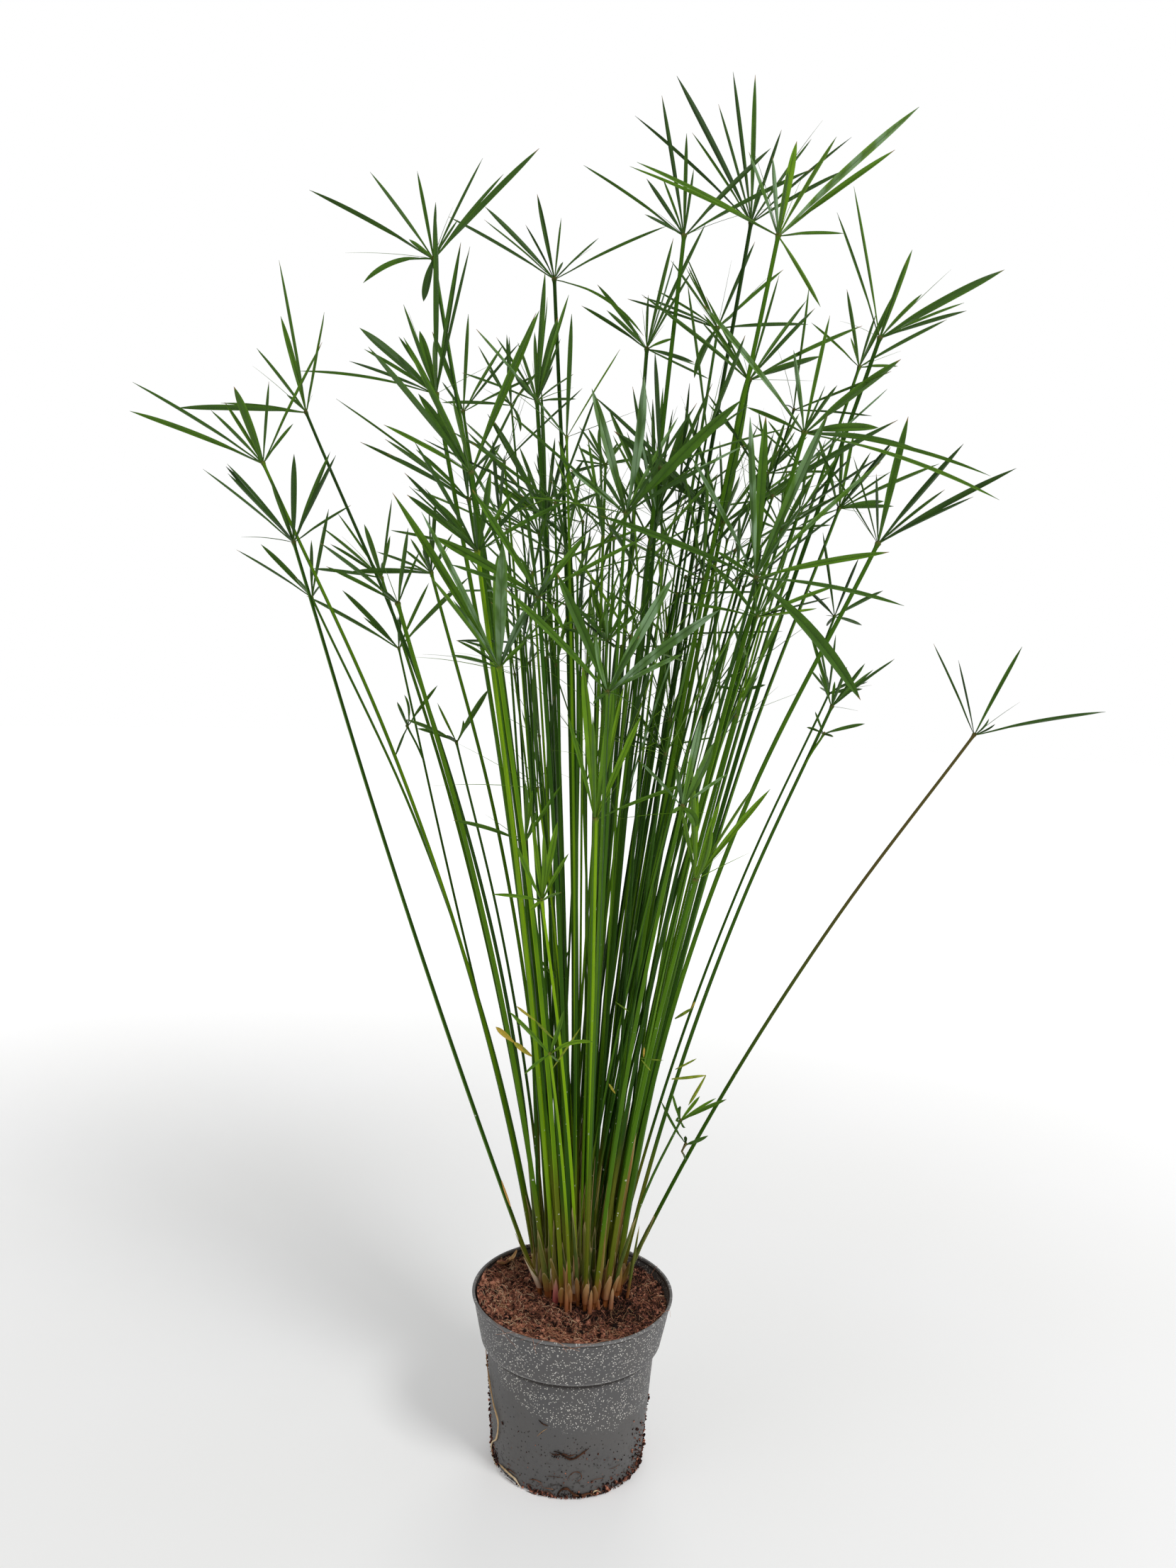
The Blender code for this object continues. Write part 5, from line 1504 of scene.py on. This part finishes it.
@dataclass(frozen=True)
class DeadLeaf:
    """The curled dead leaf on the soil at the back left."""

    length: float = 35 * MM
    width: float = 9.6 * MM
    curl: float = math.radians(110)
    thickness: float = 0.4 * MM
    stations: int = 34
    strips: int = 9

    def build(self) -> None:
        """Makes the leaf's piece, with its middle where its solid's is."""
        low, high = (np.array(corner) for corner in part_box("dry_leaf"))
        middle = (low + high) / 2
        heading = math.atan2(middle[1], middle[0]) + math.pi / 2
        ahead = np.array([math.cos(heading), math.sin(heading), 0.0])
        beside = unit(np.cross(UP, ahead) + UP * 0.5)
        radius = self.length / self.curl
        along = np.linspace(-1, 1, self.stations)[:, None]
        across = np.linspace(-1, 1, self.strips)
        bend = along * self.curl / 2
        wave = np.sin(along * 9 + across * 2) * 0.7 * MM * abs(across)
        half = self.width / 2 * (1 - 0.93 * abs(along) ** 2.6)
        rise = radius * (1 - np.cos(bend)) + 1.8 * MM * across**2 * half / half.max() + wave
        places = (ahead * (radius * np.sin(bend))[..., None] + beside * (half * across)[..., None]
                  + UP * rise[..., None])
        down = UP * self.thickness
        rings = np.concatenate([places, places[:, ::-1] - down], axis=1)
        rings += middle - (rings.min((0, 1)) + rings.max((0, 1))) / 2
        skin = Skin()
        skin.loft(rings, tone=0.50 + 0.25 * np.concatenate([abs(across), abs(across)]))
        skin.piece("curled_dead_leaf", [DRY_FINISH.material()], "dry_leaf", "dry_leaf", crease=50)


# ---- pot


def rounded(corners: Sequence[Pair], radius: float, steps: int = 4) -> list[Pair]:
    """An open outline with its inner corners rounded.

    Args:
        corners: Its corners.
        radius: How far from a corner its rounding starts, where the sides are long enough.
        steps: How many points a rounding has.

    Returns:
        The outline's points.
    """
    path = [Vector(corner) for corner in corners]
    outline = [path[0]]
    for before, corner, after in zip(path, path[1:], path[2:]):
        reach = min(radius, (corner - before).length * 0.45, (after - corner).length * 0.45)
        start = corner + (before - corner).normalized() * reach
        end = corner + (after - corner).normalized() * reach
        for step in range(steps):
            share = step / (steps - 1)
            outline.append(start.lerp(corner, share).lerp(corner.lerp(end, share), share))
    return [tuple(point) for point in outline + [path[-1]]]


def turned_rings(outline: Sequence[Pair], sides: int) -> Array:
    """Rings of a turned shape.

    Args:
        outline: Its radii and heights, from the middle of its top over its outside to the middle of its base.
        sides: How many sides it has.

    Returns:
        Its places from the last ring to the first, by ring and corner.
    """
    turns = np.arange(sides) * TURN / sides
    return np.array([[(radius * math.cos(turn), radius * math.sin(turn), height) for turn in turns]
                     for radius, height in reversed(outline)])


@dataclass
class Pot:
    """The nursery pot: a thin lip, a tapering collar, a step and a tapering body."""

    height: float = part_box("pot")[1].z
    rim_radius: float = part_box("pot")[1].x
    lip: float = 2.2 * MM
    collar_foot: float = 116.5 * MM
    collar_foot_radius: float = 85.2 * MM
    body_top_radius: float = 80.0 * MM
    base_radius: float = 71.7 * MM
    wall: float = 1.9 * MM
    floor: float = 3.0 * MM
    lip_ledge: float = 1.3 * MM  # how far the lip stands out from the collar
    step: float = 0.6 * MM  # how much lower the step under the collar is at the body
    base_edge: float = 2.5 * MM  # how high the base's chamfer reaches
    sides: int = 160
    dent: float = 0.35 * MM  # how far the wall is out of round

    def outline(self) -> list[Pair]:
        """The section from the middle of the floor, over the rim and down to the middle of the base."""
        step = self.collar_foot + self.wall
        lip_foot = self.height - self.lip
        inside = [(0.0, self.floor), (self.base_radius - self.wall, self.floor),
                  (self.body_top_radius - self.wall, step),
                  (self.collar_foot_radius - self.wall, step + self.wall),
                  (self.rim_radius - self.wall * 1.5, lip_foot)]
        lip = [(self.rim_radius - self.wall * 1.35, self.height), (self.rim_radius, self.height),
               (self.rim_radius, lip_foot), (self.rim_radius - self.lip_ledge, lip_foot - 0.9 * MM)]
        outside = [(self.collar_foot_radius, self.collar_foot),
                   (self.body_top_radius, self.collar_foot - self.step), (self.base_radius, self.base_edge),
                   (self.base_radius - 1.8 * MM, 0.0), (0.0, 0.0)]
        return inside + lip + outside

    def radius_at(self, height: float) -> float:
        """The outside's radius at a height."""
        if height > self.collar_foot:
            share = (height - self.collar_foot) / (self.height - self.lip - self.collar_foot)
            spread = self.rim_radius - self.lip_ledge - self.collar_foot_radius
            return self.collar_foot_radius + spread * share
        share = max(0.0, height - self.base_edge) / (self.collar_foot - self.step - self.base_edge)
        return self.base_radius + (self.body_top_radius - self.base_radius) * share

    def inner_radius(self, height: float) -> float:
        """The collar's inner radius at a height."""
        return self.radius_at(height) - self.wall - 0.3 * MM

    def build(self) -> None:
        """Makes the pot's piece."""
        fine = rounded(self.outline(), 0.9 * MM)
        whole = [fine[0]]
        for before, after in zip(fine, fine[1:]):
            parts = max(1, round(math.dist(before, after) / (6 * MM)))
            whole += [tuple(np.array(before) + (np.array(after) - np.array(before)) * step / parts)
                      for step in range(1, parts + 1)]
        rings = turned_rings([(max(radius, 0.2 * MM), height) for radius, height in whole], self.sides)
        for ring in rings:
            for place in ring:
                dent = noise.noise(Vector(place) / (50 * MM)) * self.dent
                if place[2] > 4 * MM:
                    place[:2] *= 1 + dent / max(np.hypot(*place[:2]), 0.02)
        skin = Skin()
        skin.loft(rings)
        skin.piece("nursery_pot", [PotFinish().material()], "pot", "pot")


@dataclass
class PotDirt:
    """Roots, strands and crumbs of peat that stick to the outside of the pot.

    A place on the wall is its turn from the front in degrees, rightwards, and its height in mm.
    """

    pot: Pot
    shreds: int = 46
    # Each root or strand: its places, its thickness in mm, its tones at both ends, and its lift in mm.
    strands: tuple[tuple[Any, ...], ...] = (
        (((-84, 105), (-76, 92), (-70, 80), (-63, 64), (-57, 52), (-58, 42), (-61, 32), (-72, 18), (-76, 9),
          (-70, 4), (-62, 2)), 1.5, (0.48, 0.95), 0.8),
        (((-59, 8), (-52, 8.5), (-45, 8), (-39, 6.5), (-35, 2)), 1.7, (0.6, 0.95), 0.3),
        (((-9, 48), (-5, 47), (-2, 44), (3, 41), (7, 43), (10, 46), (15, 51)), 1.5, (0.0, 0.1)),
        (((-12, 46), (-8, 44), (-3, 46), (2, 44), (6, 46)), 0.9, (0.05, 0.15)),
        (((1, 20), (3, 25), (7, 28), (10, 26), (11, 21), (8, 18)), 0.5, (0.15, 0.25)),
        (((-6, 1), (-5, 6), (-3, 10), (1, 11.5), (4, 8), (7, 5), (12, 4), (18, 5), (23, 1)), 1.9, (0.0, 0.2)),
        (((18, 2), (20, 5), (23, 6), (26, 3)), 1.2, (0.7, 0.9)),
        (((-21, 59), (-18, 64), (-14, 69)), 0.5, (0.5, 0.6)),
        (((-20, 76), (-17, 73), (-13, 72)), 0.9, (0.0, 0.1)))
    # Each group of crumbs: its turns, its heights, how many there are, and their size in mm.
    groups: tuple[tuple[Any, ...], ...] = (
        ((-180, 180), (0.6, 5.0), 620, 0.75), ((-96, -60), (1, 26), 260, 1.0),
        ((-98, -72), (8, 104), 300, 1.0), ((26, 104), (0.8, 15), 420, 1.1), ((52, 104), (8, 66), 320, 1.0),
        ((-30, 26), (0.8, 8), 240, 1.15), ((-10, 16), (40, 50), 70, 0.7), ((-54, 46), (5, 66), 260, 0.5),
        ((100, 260), (2, 40), 160, 0.6))
    rim_turns: tuple[int, ...] = (-24, -20, -17, -15, -12, -9, -55, 30, 62, 118, 205)  # where fibres hang
    chance: Chance = seeded(17)

    def on_wall(self, turn: float, height: float, off: float = 0.0) -> Array:
        """A place on the pot's wall, or a little off it."""
        radius = self.pot.radius_at(height * MM) + off
        angle = math.radians(turn)
        return np.array([radius * math.sin(angle), -radius * math.cos(angle), height * MM])

    def strand(self, skin: Skin, path: Sequence[Pair], width: float, tones: Pair,
               lift: float = 0.0) -> None:
        """Adds a root or fibre that runs along the wall.

        Args:
            skin: The mesh.
            path: Its places on the wall.
            width: Its thickness in mm where it is thickest.
            tones: Its tone where it starts and where it ends.
            lift: How far it stands off the wall, in mm.
        """
        off = (width / 2 + lift) * MM
        places = [self.on_wall(turn, max(height, width / 2), off) for turn, height in path]
        line = smooth_line(np.array(places), 6 * len(path))
        share = np.linspace(0, 1, len(line))
        waver = 1 + 0.18 * np.sin(share * 31 + width * 9)
        radii = width / 2 * MM * waver * np.minimum(1, 0.35 + 3 * np.minimum(share, 1 - share))
        line[:, 2] = np.maximum(line[:, 2], radii + 0.1 * MM)
        skin.cord(line, radii, 8, np.linspace(*tones, len(line))[:, None])

    def roots(self) -> None:
        """Makes the pale roots and the dark strands on the wall."""
        skin = Skin()
        for strand in self.strands:
            self.strand(skin, *strand)
        for _ in range(self.shreds):
            turn, height = self.chance.uniform(-180, 180), self.chance.gamma(1.5, 8)
            length, slope = self.chance.uniform(3, 11), self.chance.normal(0, 1.5)
            self.strand(skin, ((turn, height), (turn + length / 2, height + slope), (turn + length, height)),
                        self.chance.uniform(0.3, 0.7), (0.1, self.chance.uniform(0.0, 0.5)), 0.4)
        skin.piece("pot_roots", [ROOT_FINISH.material()], "soil", crease=180)

    def crumbs(self) -> None:
        """Makes the peat that clings round the foot, up both sides and in specks on the lower wall."""
        skin = Skin()
        for (start, end), (low, high), count, size in self.groups:
            turns = self.chance.uniform(start, end, count)
            heights = low + (high - low) * self.chance.beta(1.0, 2.0, count)
            sizes = np.clip(self.chance.gamma(2.0, 0.30, (count, 1)) * size, 0.12, 2.2) * MM
            sizes = sizes * self.chance.uniform(0.3, 1.4, (count, 3))
            spots = np.array([self.on_wall(turn, height, largest * 0.35)
                              for turn, height, largest in zip(turns, heights, sizes.max(1))])
            spots[:, 2] = np.maximum(spots[:, 2], sizes.max(1) * 1.3)
            skin.scatter(spots, sizes, self.chance, self.chance.uniform(0.0, 0.5, count))
        skin.piece("pot_crumbs", [SOIL_FINISH.material()], "soil", crease=60)

    def over_rim(self) -> None:
        """Makes the coir fibres that hang over the rim, most of them at the front left."""
        skin, stations = Skin(), 18
        for turn in self.rim_turns:
            angle = math.radians(turn + self.chance.normal(0, 1.5))
            reach = self.chance.uniform(3, 12)
            drift = self.chance.normal(0, 0.06)
            rim = self.pot.rim_radius / MM
            path = [(rim - 9, 155.5), (rim - 4, 160.5), (rim - 1, 162.0), (rim + 0.8, 161.2),
                    (rim + 0.9, 161 - reach * 0.5), (rim + 0.4, 161 - reach)]
            turns = angle + drift * np.arange(len(path))
            radii, heights = np.array(path).T * MM
            line = np.stack([radii * np.sin(turns), -radii * np.cos(turns), heights], axis=-1)
            skin.cord(smooth_line(line, stations), np.linspace(0.16, 0.08, stations) * MM, 4,
                      self.chance.uniform(0.5, 0.9))
        skin.piece("rim_fibres", [FIBRE_FINISH.material()], "soil", crease=180)

    def build(self) -> None:
        """Makes the pieces of roots, strands, crumbs and rim fibres."""
        self.roots()
        self.crumbs()
        self.over_rim()


# ---- soil


@dataclass
class Soil:
    """The coir and peat in the pot: a lumpy surface with crumbs, fibres and a few pale roots."""

    pot: Pot
    heap: float = 4.0 * MM  # how much higher it lies at the front left than at the back right
    sides: int = 200
    rings: int = 64
    bank: float = 5.5 * MM  # how much higher it lies against the wall, but for the back right
    # How far apart its lumps, clods, crumbs and patches of colour lie.
    lump: float = 22 * MM
    clod: float = 8 * MM
    crumb: float = 3.2 * MM
    patch: float = 12 * MM
    fibres: int = 3400
    crumbs: int = 2200
    roots: int = 46
    # Where dark peat lies: its middle, its reach, and how dark it is.
    peat: tuple[tuple[float, float, float, float], ...] = (
        (0.006, 0.010, 0.042, 0.36), (0.042, -0.030, 0.026, 0.46), (0.060, 0.034, 0.030, 0.24),
        (-0.039, -0.036, 0.009, 0.40), (-0.012, -0.052, 0.010, 0.22))
    chance: Chance = seeded(5)

    def height(self, x: float, y: float) -> float:
        """The surface's height at a place."""
        heap = -(x + y) / (2 * self.pot.rim_radius) * self.heap
        lumps = noise.noise(Vector((x, y, 0)) / self.lump) * 2.4 * MM
        clods = abs(noise.noise(Vector((x, y, 7)) / self.clod)) * 6.6 * MM - 2.0 * MM
        crumbs = noise.noise(Vector((x, y, 3)) / self.crumb) * 2.2 * MM
        outward = min(1.0, max(0.0, math.hypot(x, y) / self.pot.rim_radius * 3.0 - 1.9))
        away = max(0.0, 0.35 + math.cos(math.atan2(y, x) - math.radians(222)))
        whole = SOIL_TOP + heap + lumps + clods + crumbs + self.bank * outward * min(1.0, away * 1.4)
        return min(whole, self.pot.height - 0.8 * MM) if outward > 0.3 else whole

    def shade(self, x: float, y: float) -> float:
        """How light the soil is: red-brown at the left, with dark peat round the culms and at the right."""
        peat = sum(depth * math.exp(-((x - across) ** 2 + (y - back) ** 2) / reach**2)
                   for across, back, reach, depth in self.peat)
        patches = noise.noise(Vector((x, y, 0.5)) / self.patch)
        return min(1.0, max(0.0, 0.57 + 0.30 * patches - peat - 1.5 * max(0.0, x - 5 * MM)))

    def surface(self) -> None:
        """Makes the plug of soil: its top in fine rings, then down inside the pot."""
        radii = self.pot.inner_radius(SOIL_TOP) * np.linspace(0.004, 1, self.rings) ** 0.8
        gap = 0.4 * MM
        low_wall = self.pot.body_top_radius - self.pot.wall - gap
        floor_wall = self.pot.base_radius - self.pot.wall - gap
        step = self.pot.collar_foot + self.pot.wall * 2.4
        below = [(self.pot.inner_radius(step), step), (low_wall, step - 2 * MM),
                 (floor_wall, self.pot.floor + gap), (1 * MM, self.pot.floor + gap)]
        whole = turned_rings([(radius, 0.0) for radius in radii] + below, self.sides)
        for ring in whole[len(below):]:
            for place in ring:
                place[2] = self.height(*place[:2])
        dark = [self.shade(*place[:2]) for ring in whole for place in ring]
        skin = Skin()
        skin.loft(whole, tone=np.array(dark).reshape(whole.shape[:2]))
        skin.piece("coir_soil", [SOIL_FINISH.material()], "soil", "soil", crease=80)

    def spots(self, count: int, edge: float) -> Array:
        """Places on the surface.

        Args:
            count: How many.
            edge: How far they stay from the pot's wall.

        Returns:
            The places.
        """
        reach = self.pot.inner_radius(SOIL_TOP) - edge
        radii = reach * np.sqrt(self.chance.uniform(0, 1, count))
        turns = self.chance.uniform(0, TURN, count)
        flat = np.stack([radii * np.cos(turns), radii * np.sin(turns)], axis=1)
        return np.array([(x, y, self.height(x, y)) for x, y in flat])

    def litter(self) -> None:
        """Makes the crumbs of coir and peat that lie loose."""
        spots = self.spots(self.crumbs, 2 * MM)
        size = self.chance.gamma(2.2, 0.46, self.crumbs)[:, None] * MM
        sizes = np.clip(size * self.chance.uniform(0.5, 1.3, (self.crumbs, 3)), 0.25 * MM, 3.6 * MM)
        tones = np.array([self.shade(x, y) for x, y in spots[:, :2]])
        tones += self.chance.normal(-0.14, 0.32, self.crumbs)
        skin = Skin()
        skin.scatter(spots, sizes, self.chance, np.clip(tones, 0, 1))
        skin.piece("soil_crumbs", [SOIL_FINISH.material()], "soil", crease=60)

    def strand(self, start: Array, length: float, curl: float, lift: float, points: int) -> Array:
        """A curled line that lies on the surface.

        Args:
            start: Where it starts.
            length: Its length.
            curl: How much its heading changes over its length, in radians.
            lift: How high its middle stands.
            points: How many places it is given with.

        Returns:
            The line's places.
        """
        heading = self.chance.uniform(0, TURN)
        turn = self.chance.normal(0, curl) / points
        reach = self.pot.inner_radius(SOIL_TOP) - 1.5 * MM
        place = start[:2].copy()
        line = []
        for step in range(points):
            share = step / (points - 1)
            line.append((*place, self.height(*place) + 0.3 * MM + lift * 4 * share * (1 - share)))
            heading += turn + self.chance.normal(0, curl / 12)
            place = place + np.array([math.cos(heading), math.sin(heading)]) * length / points
            place *= min(1.0, reach / max(np.hypot(*place), TINY))
        return np.array(line)

    def matting(self) -> None:
        """Makes the coir fibres."""
        skin = Skin()
        taper = np.array([0.5, 1, 1, 1, 0.9, 0.4])
        for spot in self.spots(self.fibres, 3 * MM):
            length = self.chance.gamma(3.0, 3.2) * MM + 3 * MM
            line = self.strand(spot, length, 3.4, self.chance.uniform(0, 3.4) * MM, len(taper))
            radii = self.chance.uniform(0.11, 0.27) * MM * taper
            tone = self.shade(*spot[:2]) + self.chance.normal(-0.05, 0.34)
            skin.cord(line, radii, 3, float(np.clip(tone, 0, 1)))
        skin.piece("coir_fibres", [FIBRE_FINISH.material()], "soil", crease=180)

    def fine_roots(self) -> None:
        """Makes the longer pale roots that lie on the soil."""
        skin, points = Skin(), 14
        for spot in self.spots(self.roots, 6 * MM):
            length, lift = self.chance.uniform(12, 36) * MM, self.chance.uniform(0.8, 3.0) * MM
            line = self.strand(spot, length, 4.5, lift, points)
            radii = np.linspace(1.0, 0.5, points) * self.chance.uniform(0.16, 0.30) * MM
            skin.cord(line, radii, 5, self.chance.uniform(0.38, 0.72))
        skin.piece("surface_roots", [ROOT_FINISH.material()], "soil", crease=180)

    def build(self) -> None:
        """Makes the soil's pieces."""
        self.surface()
        self.litter()
        self.matting()
        self.fine_roots()


# ---- stage


@dataclass(frozen=True)
class Viewpoint:
    """The camera at the photograph's viewing angle."""

    place: Place = (-0.002, -1.0677, 0.745)
    pitch: float = math.radians(5.5)  # how far it looks down
    roll: float = math.radians(2.0)
    picture_height: int = 2212
    focal_pixels: float = 1661.0
    sensor: float = 36.0  # mm, along the picture's longer side

    def aim(self) -> None:
        """Makes the camera and gives it to the scene."""
        data = bpy.data.cameras.new("viewpoint")
        data.sensor_width = self.sensor
        data.lens = self.sensor * self.focal_pixels / self.picture_height
        camera = placed("viewpoint", data)
        turned = Matrix.Rotation(math.pi / 2 - self.pitch, 4, "X") @ Matrix.Rotation(self.roll, 4, "Z")
        camera.matrix_world = Matrix.Translation(self.place) @ turned
        bpy.context.scene.camera = camera


@dataclass(frozen=True)
class Studio:
    """A pale floor, a white surround and three soft lights."""

    floor_radius: float = 12.0
    fade: float = 3.0  # how far off the floor is as white as the surround
    surround: float = 0.32  # how strongly the surround lights the plant
    lit: Place = (0, 0, 0.55)  # what the lights face

    def floor(self) -> None:
        """Makes the floor, which isn't part of the object."""
        mesh = bmesh.new()
        bmesh.ops.create_circle(mesh, cap_ends=True, segments=96, radius=self.floor_radius)
        data = bpy.data.meshes.new("floor")
        mesh.to_mesh(data)
        mesh.free()
        recipe = Recipe("floor_paper", 0.9)
        recipe.colour = recipe.ramp(recipe.cloud(0.4), ((0.3, (0.86, 0.86, 0.85)), (0.7, (0.88, 0.88, 0.88))))
        distance = recipe.node("VectorMath", {0: recipe.object_place}, operation="LENGTH")
        glow = recipe.between(distance.outputs["Value"], 0.1, self.fade, 0.22, 0.80)
        recipe.feed(recipe.shader.inputs["Emission Strength"], glow)
        recipe.shader.inputs["Emission Color"].default_value = (1, 1, 1, 1)
        data.materials.append(recipe.finish())
        made = placed("floor", data)

    def light(self, name: str, place: Place, power: float, size: float) -> None:
        """Adds a soft square light that faces the plant's middle.

        Args:
            name: Its name.
            place: Where it stands.
            power: Its power in watts.
            size: Its side in metres.
        """
        data = bpy.data.lights.new(name, "AREA")
        data.energy = power
        data.size = size
        made = placed(name, data)
        made.location = place
        aim = Vector(self.lit) - Vector(place)
        made.rotation_euler = aim.to_track_quat("-Z", "Y").to_euler()

    def surroundings(self) -> None:
        """Gives the scene a white world that lights the plant a little less than it shows."""
        world = bpy.data.worlds.new("surround")
        world.use_nodes = True
        tree = world.node_tree
        background = tree.nodes["Background"]
        background.inputs["Color"].default_value = (1, 1, 1, 1)
        seen = tree.nodes.new("ShaderNodeLightPath")
        strength = tree.nodes.new("ShaderNodeMapRange")
        strength.inputs["To Min"].default_value = self.surround
        strength.inputs["To Max"].default_value = 1.0
        tree.links.new(seen.outputs["Is Camera Ray"], strength.inputs["Value"])
        tree.links.new(strength.outputs["Result"], background.inputs["Strength"])
        bpy.context.scene.world = world
        bpy.context.scene.view_settings.view_transform = "Standard"

    def build(self) -> None:
        """Makes the floor, the lights and the surround."""
        self.floor()
        self.surroundings()
        self.light("key", (1.5, -1.7, 2.9), 50, 0.9)
        self.light("fill", (-2.4, -1.6, 1.8), 7, 1.8)
        self.light("back", (0.4, 2.2, 2.4), 12, 1.4)


# ---- the whole


def wilted_leaves() -> None:
    """Makes the piece of all wilted leaves."""
    skin = Skin()
    for wisp in WISPS:
        wisp.skin_onto(skin)
    skin.piece("wilted_leaves", [WILTED_FINISH.material()], "leaf")


def dead_sheaths(finish: Material) -> None:
    """Makes the piece of all dry sheaths without a culm."""
    skin = Skin()
    for sheath in DEAD_SHEATHS:
        sheath.skin_onto(skin)
    skin.piece("dead_sheaths", [finish], "dry_leaf")


def main() -> None:
    """Builds the plant's pieces in order, then the stage and the camera."""
    logging.basicConfig(level=logging.INFO, format="%(message)s", stream=sys.stdout)
    finishes = [LeafFinish().material(), CulmFinish().material(), SheathFinish().material()]
    nodes = sorted(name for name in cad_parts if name.startswith("shoot_"))
    shoots = [Shoot.read(node, number) for number, node in enumerate(nodes)]
    for node, shoot in zip(nodes, shoots):
        shoot.build(node, finishes)
    Thicket(shoots).build(finishes)
    wilted_leaves()
    dead_sheaths(finishes[2])
    YoungShoot().build()
    DeadLeaf().build()
    pot = Pot()
    pot.build()
    PotDirt(pot).build()
    Soil(pot).build()
    Viewpoint().aim()
    Studio().build()


if __name__ == "__main__":
    main()
